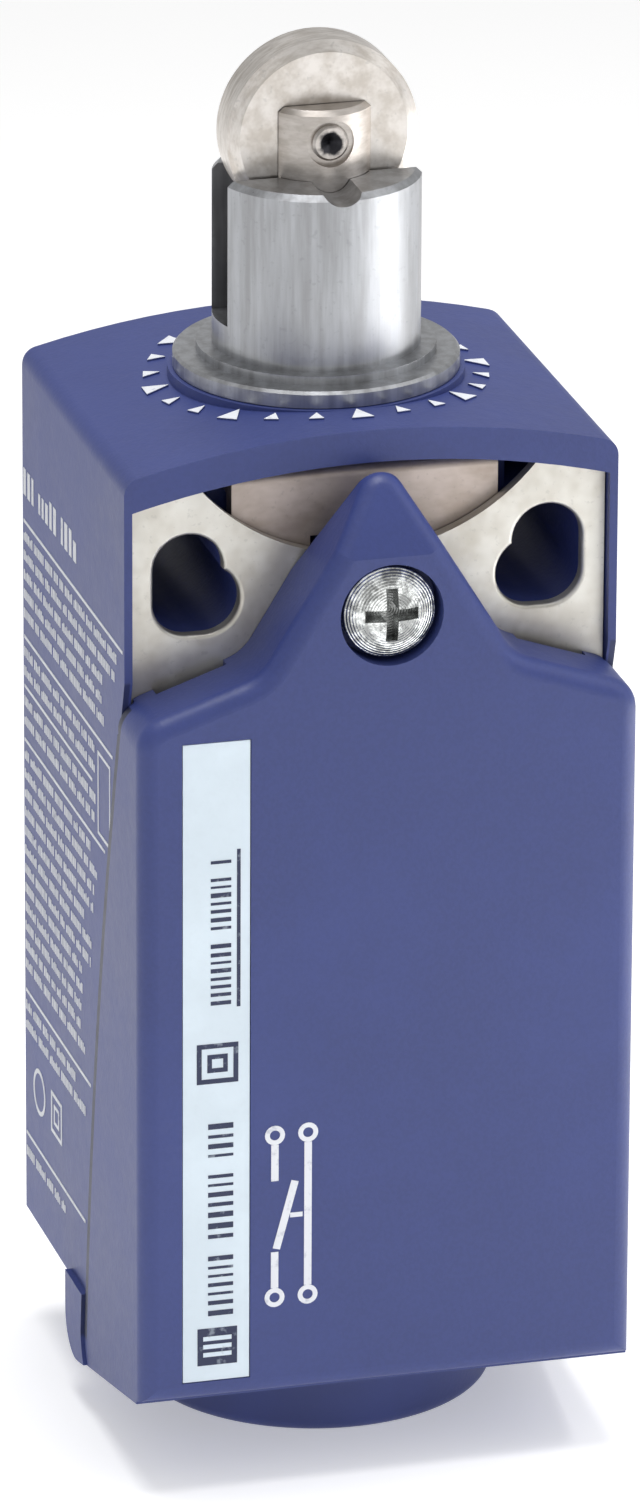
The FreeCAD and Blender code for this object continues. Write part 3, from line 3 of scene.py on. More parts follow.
import bpy
import numpy as np
from bpy.props import FloatProperty, FloatVectorProperty, IntProperty, PointerProperty
from mathutils import Matrix, Vector


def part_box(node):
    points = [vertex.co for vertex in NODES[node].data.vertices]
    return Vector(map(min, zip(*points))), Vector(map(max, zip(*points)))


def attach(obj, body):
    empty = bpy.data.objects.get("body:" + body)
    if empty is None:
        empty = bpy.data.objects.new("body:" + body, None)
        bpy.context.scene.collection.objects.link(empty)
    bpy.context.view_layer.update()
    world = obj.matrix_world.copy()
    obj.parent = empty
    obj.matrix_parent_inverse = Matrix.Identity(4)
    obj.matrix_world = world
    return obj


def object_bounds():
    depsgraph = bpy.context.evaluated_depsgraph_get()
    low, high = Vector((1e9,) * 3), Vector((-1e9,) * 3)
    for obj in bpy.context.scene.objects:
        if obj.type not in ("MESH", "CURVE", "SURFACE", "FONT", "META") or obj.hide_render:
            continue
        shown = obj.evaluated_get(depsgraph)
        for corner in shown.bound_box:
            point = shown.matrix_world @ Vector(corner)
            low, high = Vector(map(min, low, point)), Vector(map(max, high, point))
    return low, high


bl_info = {
    "name": "Limit switch looks",
    "version": (1, 0, 0),
    "blender": (4, 5, 0),
    "location": "View3D > Sidebar > Limit switch",
    "description": "Finishes, printed marks and studio for a limit switch with a roller plunger",
    "category": "Object",
}

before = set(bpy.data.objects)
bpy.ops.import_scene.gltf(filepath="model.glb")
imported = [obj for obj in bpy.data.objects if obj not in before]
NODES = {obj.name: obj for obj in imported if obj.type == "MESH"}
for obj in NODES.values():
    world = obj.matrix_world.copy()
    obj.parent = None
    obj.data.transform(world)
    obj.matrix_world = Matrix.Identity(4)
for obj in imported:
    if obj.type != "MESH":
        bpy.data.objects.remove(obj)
CAD_BOX = [list(corner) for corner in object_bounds()]
MM = 0.001

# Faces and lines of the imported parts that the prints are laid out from.
HOUSING_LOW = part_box("housing")[0]
COVER_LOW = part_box("cover")[0]
LABEL_LOW, LABEL_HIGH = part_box("label")
SCREW_LOW, SCREW_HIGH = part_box("cover_screw")
AXLE_LOW, AXLE_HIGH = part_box("roller_axle")
PLATE_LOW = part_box("mounting_plate")[0]
ROOF_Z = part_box("head_gasket")[1].z     # crown of the arched roof, level with the gasket's top
SCREW_Z = (SCREW_LOW.z + SCREW_HIGH.z) / 2
AXLE_Z = (AXLE_LOW.z + AXLE_HIGH.z) / 2
SIDE_X = HOUSING_LOW.x + 0.4 * MM       # housing's left side, inside the proud chin

# Thread of the cable entry and of the cover screw.
ENTRY_THREAD_RADIUS, ENTRY_THREAD_PITCH = 7.19 * MM, 1.5 * MM
SCREW_ROOT, SCREW_CREST, SCREW_PITCH = 1.25 * MM, 1.44 * MM, 0.5 * MM

# Joint of housing and cover on either side: its top, its foot and how far it bows back.
JOINT_TOP = Vector((0.0, HOUSING_LOW.y, SCREW_Z - 4.6 * MM))
JOINT_FOOT = Vector((0.0, -3.15 * MM, 5.0 * MM))
JOINT_BOW = 1.35 * MM

# Panel of small print on the side: its rules from the top down, its back edge, and the box
# that stands between three of its rules.
PANEL_RULES = [52.2 * MM, 44.7 * MM, 41.5 * MM, 38.0 * MM, 21.5 * MM, 12.0 * MM]
PANEL_BACK = -11.9 * MM
TITLE_LEVEL, TITLE_HEIGHT = 54.0 * MM, 1.7 * MM
BOX_TOP_RULE, BOX_RULE, BOX_FOOT_RULE = PANEL_RULES[1:4]
BOX_LOW, BOX_HIGH, BOX_WIDTH = 38.7 * MM, 44.0 * MM, 3.0 * MM
BOX_RULE_GAP = 5.0 * MM                 # rule's end to the joint, where it meets the box
MARKS_RULE, MARKS_LEVEL = PANEL_RULES[4], 19.0 * MM    # room for the marks from here down
LAST_ROW_LEVEL = 10.6 * MM
MARK_CENTRE, MARK_RADIUS, MARK_LINE = (-8.6 * MM, 16.0 * MM), 1.5 * MM, 0.28 * MM
MARK_SQUARES = ((-5.6 * MM, -2.9 * MM, 14.7 * MM, 17.4 * MM, 0.25 * MM),    # sides, line
                (-4.9 * MM, -3.6 * MM, 15.4 * MM, 16.7 * MM, 0.22 * MM))
INK_SINK = 0.02 * MM                    # foot of the print, inside the plastic

# Contact diagram on the front: its two columns, its foot and its top, its line and end rings.
COLUMN_LEFT, COLUMN_RIGHT, DIAGRAM_LOW, DIAGRAM_HIGH = -7.05 * MM, -5.0 * MM, 12.2 * MM, 22.7 * MM
DIAGRAM_LINE, DIAGRAM_RING = 0.46 * MM, 0.62 * MM

# Print on the label strip, from the foot up.
BADGE_LOW, BADGE_HIGH = 8.2 * MM, 10.6 * MM
BADGE_LINES, BADGE_LINE_WIDTH = (8.75 * MM, 9.27 * MM, 9.79 * MM), 0.28 * MM
LABEL_ROWS = ((11.4 * MM, 24.2 * MM, 1.55 * MM, 0.15 * MM),    # start, end, height, foot
              (31.4 * MM, 40.6 * MM, 1.25 * MM, 0.3 * MM))
SQUARE_LOW, INNER_SQUARE_LOW = 26.4 * MM, 27.1 * MM
SQUARE_LINE, INNER_SQUARE_LINE = 0.3 * MM, 0.28 * MM
UNDERLINE_LOW, UNDERLINE_HIGH = 31.2 * MM, 41.2 * MM

FLOOR_REACH = 3.0                       # from the middle to each edge, metres
FLOOR_GAP = 0.02 * MM                   # floor below the part, so that no two faces coincide


# ---- settings ----------------------------------------------------------------
def colour(name, description, value):
    """A colour setting, as linear red, green and blue."""
    return FloatVectorProperty(name=name, description=description, default=value, size=3,
                               subtype="COLOR", min=0.0, max=1.0)


def length(name, description, millimetres):
    """A length setting in metres, given in millimetres."""
    return FloatProperty(name=name, description=description, default=millimetres * MM,
                         unit="LENGTH", min=0.0, precision=6)


def share(name, description, value):
    """A setting from nought to one."""
    return FloatProperty(name=name, description=description, default=value, min=0.0, max=1.0,
                         subtype="FACTOR")


def angle(name, description, degrees):
    """An angle setting, given in degrees."""
    return FloatProperty(name=name, description=description, default=math.radians(degrees),
                         subtype="ANGLE")


def power(name, description, watts):
    """A light's power."""
    return FloatProperty(name=name, description=description, default=watts, min=0.0, unit="POWER")


class SwitchFinish(bpy.types.PropertyGroup):
    plastic: colour("Case plastic", "Colour of the moulded case", (0.037, 0.054, 0.200))
    plastic_worn: colour("Case plastic, rubbed", "Colour of the case where it is rubbed",
                         (0.070, 0.088, 0.245))
    plastic_roughness: share("Case roughness", "Roughness of the case", 0.46)
    plate: colour("Plate steel", "Colour of the zinc plated mounting plate", (0.66, 0.645, 0.60))
    fork: colour("Fork steel", "Colour of the head lock fork", (0.52, 0.45, 0.41))
    bush: colour("Bush steel", "Colour of the turned bush", (0.42, 0.43, 0.45))
    roller: colour("Roller steel", "Colour of the roller", (0.72, 0.685, 0.65))
    plunger: colour("Plunger steel", "Colour of the plunger", (0.52, 0.485, 0.455))
    screw: colour("Screw steel", "Colour of the bright screws", (0.76, 0.78, 0.77))
    label: colour("Label", "Colour of the label strip", (0.70, 0.80, 0.88))
    ink: colour("White ink", "Colour of the white print", (0.80, 0.82, 0.87))
    dark_ink: colour("Dark ink", "Colour of the print on the label", (0.018, 0.026, 0.075))


class SwitchPrint(bpy.types.PropertyGroup):
    mark_count: IntProperty(name="Index marks", description="Marks round the head",
                            default=24, min=3)
    mark_radius: length("Index ring", "Radius of the ring of index marks", 9.85)
    mark_length: length("Short mark", "Length of a short index mark", 1.0)
    long_mark_length: length("Long mark", "Length of every third index mark", 1.5)
    roof_drop: length("Roof drop", "Height of the roof's crown above its long edges", 2.0)
    mark_relief: length("Mark relief", "Height of an index mark above the roof", 0.1)
    ink: length("Ink thickness", "Thickness of the print", 0.03)
    row_pitch: length("Row pitch", "Distance between rows of small print", 1.25)
    row_height: length("Row height", "Height of a row of small print", 0.62)
    rule: length("Rule", "Thickness of a printed rule", 0.2)


class SwitchStudio(bpy.types.PropertyGroup):
    yaw: angle("Yaw", "Camera's turn to the left of the front", 15.3)
    pitch: angle("Pitch", "Camera's angle above the floor", 20.7)
    roll: angle("Roll", "Camera's turn about its own axis", 0.25)
    distance: length("Distance", "Camera to the point it looks at", 700.0)
    aim_x: FloatProperty(name="Aim X", description="Point the camera looks at, to the right",
                         default=0.35 * MM, unit="LENGTH")
    aim_z: FloatProperty(name="Aim Z", description="Point the camera looks at, height",
                         default=39.9 * MM, unit="LENGTH")
    view_height: length("View height", "Height of the picture at the camera's aim", 91.4)
    floor: colour("Floor", "Colour of the floor", (0.88, 0.88, 0.88))
    floor_glow: FloatProperty(name="Floor glow", description="Strength of the floor's own light",
                              default=0.36, min=0.0)
    world: FloatProperty(name="World", description="Strength of the even light",
                         default=0.52, min=0.0)
    key: power("Key light", "Power of the light at the right", 0.18)
    pool: power("Pool light", "Power of the light on the floor at the right", 0.36)
    top: power("Top light", "Power of the light above", 0.30)
    fill: power("Fill light", "Power of the light at the front", 0.05)


# ---- shader maths --------------------------------------------------------------
class Signal:
    """A node's output; arithmetic on it adds Math nodes."""

    def __init__(self, shader, socket):
        self.shader = shader
        self.socket = socket

    def maths(self, operation, *values):
        return self.shader.node("Math", {"operation": operation}, values)

    def __add__(self, other):
        return self.maths("ADD", self, other)

    __radd__ = __add__

    def __mul__(self, other):
        return self.maths("MULTIPLY", self, other)

    def __sub__(self, other):
        return self.maths("SUBTRACT", self, other)

    def __rsub__(self, other):
        return self.maths("SUBTRACT", other, self)

    def __truediv__(self, other):
        return self.maths("DIVIDE", self, other)

    def __pow__(self, other):
        return self.maths("POWER", self, other)

    def __abs__(self):
        return self.maths("ABSOLUTE", self)

    def step(self, low, high):
        """Nought below the low edge, one above the high edge, smooth between."""
        return self.shader.node("MapRange", {"interpolation_type": "SMOOTHSTEP"},
                                (self, low, high, 0.0, 1.0))


class Shader:
    """One material, built a node at a time round a Principled shader."""

    def __init__(self, name, **constants):
        self.material = bpy.data.materials.new(name)
        self.material.use_nodes = True
        self.tree = self.material.node_tree
        self.surface = self.tree.nodes["Principled BSDF"]
        for socket, value in constants.items():
            self.surface.inputs[socket.replace("_", " ")].default_value = value
        self.place = self.node("TexCoord", output="Object")

    def node(self, kind, settings=None, values=(), output=0):
        """Adds a node: its settings first, then the values or links of its sockets."""
        made = self.tree.nodes.new("ShaderNode" + kind)
        for key, value in (settings or {}).items():
            setattr(made, key, value)
        pairs = values.items() if isinstance(values, dict) else enumerate(values)
        for key, value in pairs:
            self.feed(made.inputs[key], value)
        return Signal(self, made.outputs[output])

    def feed(self, socket, value):
        """Links a signal to a socket, or sets the socket to a value."""
        if isinstance(value, Signal):
            self.tree.links.new(value.socket, socket)
        elif isinstance(socket.default_value, float):
            socket.default_value = value
        elif len(value) < len(socket.default_value):
            socket.default_value = (*value, 1.0)
        else:
            socket.default_value = value

    def stretched(self, x, y, z):
        """Object coordinates with each axis scaled."""
        return self.node("VectorMath", {"operation": "MULTIPLY"}, (self.place, (x, y, z)))

    def axes(self):
        """Object coordinates as three numbers."""
        split = self.tree.nodes.new("ShaderNodeSeparateXYZ")
        self.feed(split.inputs[0], self.place)
        return [Signal(self, output) for output in split.outputs]

    def noise(self, scale, detail=3.0, roughness=0.55, place=None):
        """Noise around a half; the scale is in cells per metre."""
        return self.node("TexNoise", {}, {"Vector": place or self.place, "Scale": scale,
                                          "Detail": detail, "Roughness": roughness})

    def blend(self, factor, first, second):
        """Colour between two colours."""
        return self.node("Mix", {"data_type": "RGBA"}, {0: factor, 6: first, 7: second}, output=2)

    def shades(self, factor, tint, dark, light):
        """Colour between a darker and a lighter shade of one tint."""
        return self.blend(factor, tinted(tint, dark), tinted(tint, light))

    def colour(self, value):
        self.feed(self.surface.inputs["Base Color"], value)

    def roughness(self, value):
        self.feed(self.surface.inputs["Roughness"], value)

    def relief(self, height, depth):
        """Bump of a given depth in metres from a height signal."""
        bump = self.node("Bump", {}, {"Strength": 1.0, "Distance": depth, "Height": height})
        self.feed(self.surface.inputs["Normal"], bump)


def tinted(base, gain):
    """A colour made lighter or darker, kept within range."""
    return tuple(min(1.0, max(0.0, part * gain)) for part in base)


# ---- finishes ------------------------------------------------------------------
def case_plastic(name, finish, seed):
    """Fine-grained moulded plastic: faint flow clouds, spark-eroded grain and rubbed patches.

    Along the joint of housing and cover the sides carry a dark line, partly painted shade of the
    gap
    and partly grime: the joint is an arc, so the line lies where the distance from the arc's centre
    is near its radius.
    """
    shader = Shader(name, IOR=1.49)
    spot = shader.node("VectorMath", {"operation": "ADD"}, (shader.place, (seed, seed * 0.7, 0.0)))
    cloud = shader.noise(70.0, 4.0, 0.6, spot)
    grain = shader.noise(3400.0, 2.0, 0.6, spot)
    fine = shader.noise(1100.0, 3.0, 0.6, spot)
    base = shader.shades(cloud.step(0.35, 0.68), finish.plastic, 0.93, 1.08)
    rubbed = cloud.step(0.56, 0.74) * fine.step(0.42, 0.62)
    base = shader.blend(rubbed * 0.22, base, finish.plastic_worn)
    base = shader.blend(grain.step(0.40, 0.60) * 0.16, base, tinted(finish.plastic, 1.3))
    x, y, z = shader.axes()
    centre_y, centre_z, radius = joint_arc()
    reach = ((y - centre_y) ** 2.0 + (z - centre_z) ** 2.0) ** 0.5 - radius
    on_side = abs(x).step(14.7 * MM, 14.8 * MM)
    # painted shade of the gap between housing and cover, with grime: a dark line along the joint
    line = (1.0 - abs(reach + 0.40 * MM).step(0.34 * MM, 0.48 * MM)) * on_side
    line = line * z.step(JOINT_FOOT.z - 0.5 * MM, JOINT_FOOT.z)
    line = line * (1.0 - z.step(JOINT_TOP.z, JOINT_TOP.z + 0.4 * MM))
    shader.colour(shader.blend(line * (0.75 + fine * 0.3), base, tinted(finish.plastic, 0.12)))
    shader.roughness(finish.plastic_roughness + (cloud - 0.5) * 0.16 + (fine - 0.5) * 0.12)
    shader.relief(grain * 0.7 + fine * 0.5, 0.022 * MM)
    return shader.material


def entry_plastic(name, finish):
    """The case's plastic, with a right-handed screw thread inside the bore, drawn by bump, and
    painted shade darkening its grooves.

    The thread's height is a triangle wave of turns plus height over pitch.
    """
    shader = Shader(name, IOR=1.49)
    x, y, z = shader.axes()
    radius = (x * x + y * y) ** 0.5
    turn = shader.node("Math", {"operation": "ARCTAN2"}, (y, x)) / math.tau
    phase = z / ENTRY_THREAD_PITCH - turn + 20.0
    wave = shader.node("Math", {"operation": "PINGPONG"}, (phase, 0.5)) * 2.0
    inside = 1.0 - radius.step(ENTRY_THREAD_RADIUS + 0.1 * MM, ENTRY_THREAD_RADIUS + 0.2 * MM)
    grain = shader.noise(3400.0, 2.0, 0.6)
    cloud = shader.noise(90.0)
    base = shader.shades(cloud.step(0.35, 0.65), finish.plastic, 0.9, 1.1)
    # painted shade: the thread's grooves inside the bore are darkened
    shader.colour(shader.blend(inside * (1.0 - wave) * 0.45, base, tinted(finish.plastic, 0.4)))
    shader.roughness(finish.plastic_roughness + (cloud - 0.5) * 0.2)
    shader.relief(grain * 0.03 + inside * wave, 0.7 * MM)
    return shader.material


def plated_steel(name, tint, rough, streaks, warm=0.0, metallic=1.0):
    """Zinc plated or turned steel: streaks along the stretched axes, spangle and fine pits."""
    shader = Shader(name, Metallic=metallic, Anisotropic=0.25)
    lines = shader.noise(1.0, 3.0, 0.65, shader.stretched(*streaks))
    cloud = shader.noise(420.0, 4.0, 0.62)
    pits = shader.noise(2600.0, 2.0, 0.6)
    light = tinted(tint, 1.12)
    dark = (tint[0] * 0.80, tint[1] * (0.79 - 0.04 * warm), tint[2] * (0.78 - 0.10 * warm))
    base = shader.blend(lines.step(0.30, 0.70), dark, light)
    base = shader.blend(cloud.step(0.45, 0.70) * 0.35, base, tint)
    base = shader.blend(pits.step(0.60, 0.72) * 0.30, base, tinted(tint, 0.62))
    shader.colour(base)
    shader.roughness(rough + (lines - 0.5) * 0.22 + (cloud - 0.5) * 0.18)
    shader.relief(lines * 0.6 + pits * 0.4, 0.012 * MM)
    return shader.material


def peened_steel(name, tint, centre_z):
    """Steel pin, painted near black over a ragged disc round the centre of each end, where the
    dimple is.
    """
    shader = Shader(name, Metallic=1.0)
    x, y, z = shader.axes()
    radius = (x * x + (z - centre_z) ** 2.0) ** 0.5
    smear = shader.noise(1400.0, 3.0, 0.6)
    # near-black disc painted round the centre of each end of the pin, over the dimple
    dark_end_disc = 1.0 - (radius + (smear - 0.5) * (0.5 * MM)).step(0.62 * MM, 0.86 * MM)
    base = shader.shades(smear.step(0.35, 0.65), tint, 0.8, 1.2)
    shader.colour(shader.blend(dark_end_disc * 0.94, base, (0.010, 0.012, 0.020)))
    shader.roughness(0.34 + (smear - 0.5) * 0.3)
    shader.relief(smear, 0.05 * MM)
    return shader.material


def bright_screw_steel(name, finish, centre_z):
    """Bright plated screw head: concentric turning lines, with painted shade darkening the cross
    recess towards its bottom.
    """
    shader = Shader(name, Metallic=1.0)
    x, y, z = shader.axes()
    rise = z - centre_z
    radius = (x * x + rise * rise) ** 0.5
    rings = shader.node("Math", {"operation": "SINE"}, (radius * (math.tau / (0.16 * MM)),))
    cloud = shader.noise(950.0, 4.0, 0.7)
    pits = shader.noise(2600.0, 2.0, 0.6)
    base = shader.shades(cloud.step(0.40, 0.60), finish.screw, 0.42, 1.25)
    # painted shade: the cross recess grows darker towards its bottom
    recess = 1.0 - radius.step(1.6 * MM, 1.9 * MM)
    recess_shade = (y - (SCREW_LOW.y + 0.45 * MM)).step(0.0, 0.5 * MM) * recess
    shader.colour(shader.blend(recess_shade * 0.7, base, tinted(finish.screw, 0.16)))
    shader.roughness(0.24 + (cloud - 0.5) * 0.3)
    shader.relief(rings * 0.12 + cloud * 0.8 + pits * 0.4, 0.09 * MM)
    return shader.material


def printed_label(name, finish):
    """Satin film: a pale tint that clouds slightly, with the fine weave of screen print."""
    shader = Shader(name, IOR=1.5, Coat_Weight=0.15, Coat_Roughness=0.2)
    cloud = shader.noise(160.0, 3.0)
    weave = shader.noise(2400.0, 2.0)
    base = shader.shades(cloud.step(0.35, 0.65), finish.label, 0.96, 1.04)
    shader.colour(shader.blend(weave.step(0.5, 0.7) * 0.10, base, tinted(finish.label, 0.85)))
    shader.roughness(0.38 + (weave - 0.5) * 0.16)
    shader.relief(weave, 0.01 * MM)
    return shader.material


def print_ink(name, tint, ground):
    """Pad-printed ink: slightly thin in patches, so that the ground shows through."""
    shader = Shader(name)
    patch = shader.noise(1500.0, 3.0, 0.6)
    thin = patch.step(0.56, 0.74)
    shader.colour(shader.blend(thin * 0.30, tint, ground))
    shader.roughness(0.5 + (patch - 0.5) * 0.3)
    shader.relief(patch, 0.012 * MM)
    return shader.material


def moulded(name, tint, rough=0.5):
    """Plain moulded plastic with flow clouds and fine grain."""
    shader = Shader(name, IOR=1.5)
    cloud = shader.noise(130.0, 4.0, 0.6)
    grain = shader.noise(1800.0, 2.0, 0.6)
    base = shader.shades(cloud.step(0.35, 0.66), tint, 0.90, 1.06)
    shader.colour(shader.blend(grain.step(0.5, 0.7) * 0.15, base, tinted(tint, 0.75)))
    shader.roughness(rough + (cloud - 0.5) * 0.2)
    shader.relief(grain, 0.02 * MM)
    return shader.material


def seal_rubber(name):
    """Black rubber with a bloom of grey and a soft grain."""
    shader = Shader(name, IOR=1.5)
    bloom = shader.noise(260.0, 4.0, 0.65)
    grain = shader.noise(1500.0, 3.0, 0.6)
    black, grey = (0.012, 0.012, 0.013), (0.045, 0.045, 0.05)
    shader.colour(shader.blend(bloom.step(0.45, 0.72) * 0.5, black, grey))
    shader.roughness(0.66 + (grain - 0.5) * 0.25)
    shader.relief(grain, 0.03 * MM)
    return shader.material


def contact_brass(name):
    """Rolled brass with rolling lines along it and a faint brown tarnish."""
    shader = Shader(name, Metallic=1.0, Anisotropic=0.3)
    lines = shader.noise(1.0, 3.0, 0.6, shader.stretched(250.0, 3200.0, 3200.0))
    tarnish = shader.noise(300.0, 4.0, 0.65)
    base = shader.blend(lines.step(0.3, 0.7), (0.62, 0.45, 0.19), (0.80, 0.63, 0.33))
    shader.colour(shader.blend(tarnish.step(0.52, 0.74) * 0.5, base, (0.33, 0.19, 0.08)))
    shader.roughness(0.32 + (tarnish - 0.5) * 0.3)
    shader.relief(lines, 0.01 * MM)
    return shader.material


def dress(material, *names):
    """Gives parts a material in every slot, without touching their meshes."""
    for name in names:
        node = NODES[name]
        if not node.material_slots:
            node.data.materials.append(material)
        for slot in node.material_slots:
            slot.material = material


# ---- surfaces ------------------------------------------------------------------
def piece(name, points, faces, body, material):
    """Flat-shaded mesh object from points and faces, riding on a body."""
    mesh = bpy.data.meshes.new(name)
    points = np.asarray(points, float).reshape(-1, 3).tolist()
    mesh.from_pydata(points, [], [list(face) for face in faces])
    mesh.validate()
    mesh.polygons.foreach_set("use_smooth", np.full(len(mesh.polygons), False))
    mesh.materials.append(material)
    made = bpy.data.objects.new(name, mesh)
    bpy.context.scene.collection.objects.link(made)
    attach(made, body)
    return made


def printed(outlines, place, low, high):
    """Closed slabs of print from flat outlines.

    Each outline is a ring of (u, v) corners, counter-clockwise.  Its low ring lies at one
    height and its high ring at another; the two are joined by a band of quads.
    """
    points, faces, start = [], [], 0
    for outline in outlines:
        ring = np.asarray(outline, float)
        count = len(ring)
        points.append(place(ring[:, 0], ring[:, 1], low))
        points.append(place(ring[:, 0], ring[:, 1], high))
        index = np.arange(count)
        after = (index + 1) % count
        faces.append(tuple(start + index[::-1]))
        faces.append(tuple(start + count + index))
        band = np.stack([index, after, after + count, index + count], 1) + start
        faces.extend(map(tuple, band))
        start += 2 * count
    return np.concatenate(points), faces


def bar(u0, u1, v0, v1):
    """Rectangle's outline."""
    return [(u0, v0), (u1, v0), (u1, v1), (u0, v1)]


def stroke(start, end, width):
    """Outline of a straight stroke: the line's ends moved half a width to each side."""
    a, b = np.asarray(start, float), np.asarray(end, float)
    along = (b - a) / np.linalg.norm(b - a)
    side = np.array([along[1], -along[0]]) * width / 2
    return [tuple(a + side), tuple(b + side), tuple(b - side), tuple(a - side)]


def ring_strokes(u, v, radius, width, parts=24):
    """Outlines of a circle's line: short four-cornered pieces between two radii."""
    angle = np.linspace(0.0, math.tau, parts + 1)
    cosine, sine, hole = np.cos(angle), np.sin(angle), radius - width
    inner = np.stack([u + hole * cosine, v + hole * sine], 1)
    outer = np.stack([u + radius * cosine, v + radius * sine], 1)
    return [[inner[i], outer[i], outer[i + 1], inner[i + 1]] for i in range(parts)]


def frame_strokes(u0, u1, v0, v1, width):
    """Outlines of a rectangle's four sides."""
    return [bar(u0, u1, v0, v0 + width), bar(u0, u1, v1 - width, v1),
            bar(u0, u0 + width, v0 + width, v1 - width),
            bar(u1 - width, u1, v0 + width, v1 - width)]


def small_print(start, end, low, height, random, lowest=0.75, widths=(0.24, 0.46)):
    """Ticks that stand for a row of small print: groups of ticks with gaps between, no letters.

    A tick's width is a share of the row's height; one in four stands lowest.
    """
    outlines = []
    u = start
    while u < end:
        ticks = int(random.integers(3, 9))
        for _ in range(ticks):
            wide = height * random.uniform(*widths)
            if u + wide > end:
                return outlines
            top = low + height * random.choice([1.0, 1.0, 1.0, lowest])
            outlines.append(bar(u, u + wide, low, top))
            u += wide + height * 0.24
        u += height * 0.5
    return outlines


def on_flank(u, v, height):
    """Point on the housing's left side: u runs from back to front, v is the height."""
    return np.stack([np.full_like(u, SIDE_X) - height, -u, v], 1)


def on_front(u, v, height):
    """Point on the cover's front: u runs to the right, v is the height."""
    return np.stack([u, np.full_like(u, COVER_LOW.y) - height, v], 1)


def on_label(u, v, height):
    """Point on the label's face."""
    return np.stack([u, np.full_like(u, LABEL_LOW.y) - height, v], 1)


def on_roof(drop):
    """Maps (x, y) and a height to the arched roof: z follows a circle of the roof's radius."""
    half = -SIDE_X
    radius = (half * half + drop * drop) / (2 * drop)

    def place(u, v, height):
        return np.stack([u, v, ROOF_Z - radius + np.sqrt((radius + height) ** 2 - u * u)], 1)

    return place


def joint_arc():
    """Centre and radius of the arc through the joint's top, foot and bowed middle."""
    top, foot = JOINT_TOP, JOINT_FOOT
    middle = (top + foot) / 2 + Vector((0.0, JOINT_BOW, 0.0))
    system = np.array([[2 * (p.y - top.y), 2 * (p.z - top.z)] for p in (middle, foot)])
    square = [p.y ** 2 + p.z ** 2 - top.y ** 2 - top.z ** 2 for p in (middle, foot)]
    y, z = np.linalg.solve(system, np.array(square))
    return float(y), float(z), math.hypot(top.y - y, top.z - z)


def joint_y(z):
    """Depth of the joint at a height, on the same arc."""
    centre_y, centre_z, radius = joint_arc()
    side = 1.0 if centre_y < JOINT_TOP.y else -1.0
    return centre_y + side * math.sqrt(radius ** 2 - (z - centre_z) ** 2)


def helical_ridge(root, crest, pitch, start, end, side):
    """Thread along Y: a three-sided ridge carried round a helix.

    At turn t the ridge's foot points lie at the root radius, side by side along Y, and its
    peak at the crest radius; all three move one pitch along Y for each turn.
    """
    turns = (end - start) / pitch
    steps = int(turns * 48) + 1
    t = np.linspace(0.0, turns, steps)
    taper = np.clip(np.minimum(t, turns - t) * 3.0, 0.02, 1.0)
    angle = t * math.tau
    along = start + t * pitch
    radii = np.stack([np.full(steps, root - 0.03 * MM), root + (crest - root) * taper,
                      np.full(steps, root - 0.03 * MM)], 1)
    depth = np.stack([along - side, along, along + side], 1)
    across, up = radii * np.cos(angle)[:, None], radii * np.sin(angle)[:, None]
    points = np.stack([across, depth, SCREW_Z + up], 2)
    row = np.arange(steps - 1)[:, None] * 3
    corner = np.arange(3)[None, :]
    after = (corner + 1) % 3
    quads = np.stack([row + corner, row + 3 + corner, row + 3 + after, row + after], 2)
    quads = quads.reshape(-1, 4)
    last = (steps - 1) * 3
    return points, [tuple(quad) for quad in quads] + [(0, 1, 2), (last + 2, last + 1, last)]


# ---- operators -----------------------------------------------------------------
class DressCase(bpy.types.Operator):
    """Gives housing, cover and cable entry their moulded finish"""
    bl_idname = "switch.dress_case"
    bl_label = "Case plastic"

    def execute(self, context):
        finish = context.scene.switch_finish
        dress(case_plastic("housing_plastic", finish, 0.31), "housing")
        dress(case_plastic("cover_plastic", finish, 0.83), "cover")
        dress(entry_plastic("entry_plastic", finish), "cable_entry")
        return {"FINISHED"}


class DressMetal(bpy.types.Operator):
    """Gives plate, fork, screw and head their steel finishes"""
    bl_idname = "switch.dress_metal"
    bl_label = "Outer metal"

    def execute(self, context):
        finish = context.scene.switch_finish
        # Tint, roughness, streaks' density along X, Y and Z, warmth, share of metal, parts.
        steels = {
            "plate_steel": (finish.plate, 0.42, (260.0, 900.0, 260.0), 0.5, 0.82,
                            ["mounting_plate"]),
            "fork_steel": (finish.fork, 0.45, (300.0, 900.0, 500.0), 0.6, 0.75, ["head_lock_fork"]),
            "bush_steel": (finish.bush, 0.34, (1300.0, 1300.0, 110.0), 0.0, 1.0,
                           ["head_bush", "spring_cap"]),
            "plunger_steel": (finish.plunger, 0.34, (500.0, 500.0, 1800.0), 0.3, 1.0, ["plunger"]),
            "roller_steel": (finish.roller, 0.36, (700.0, 4200.0, 700.0), 0.5, 1.0, ["roller"]),
        }
        for name, (*recipe, parts) in steels.items():
            dress(plated_steel(name, *recipe), *parts)
        dress(peened_steel("axle_steel", finish.plunger, AXLE_Z), "roller_axle")
        dress(bright_screw_steel("screw_steel", finish, SCREW_Z), "cover_screw")
        return {"FINISHED"}


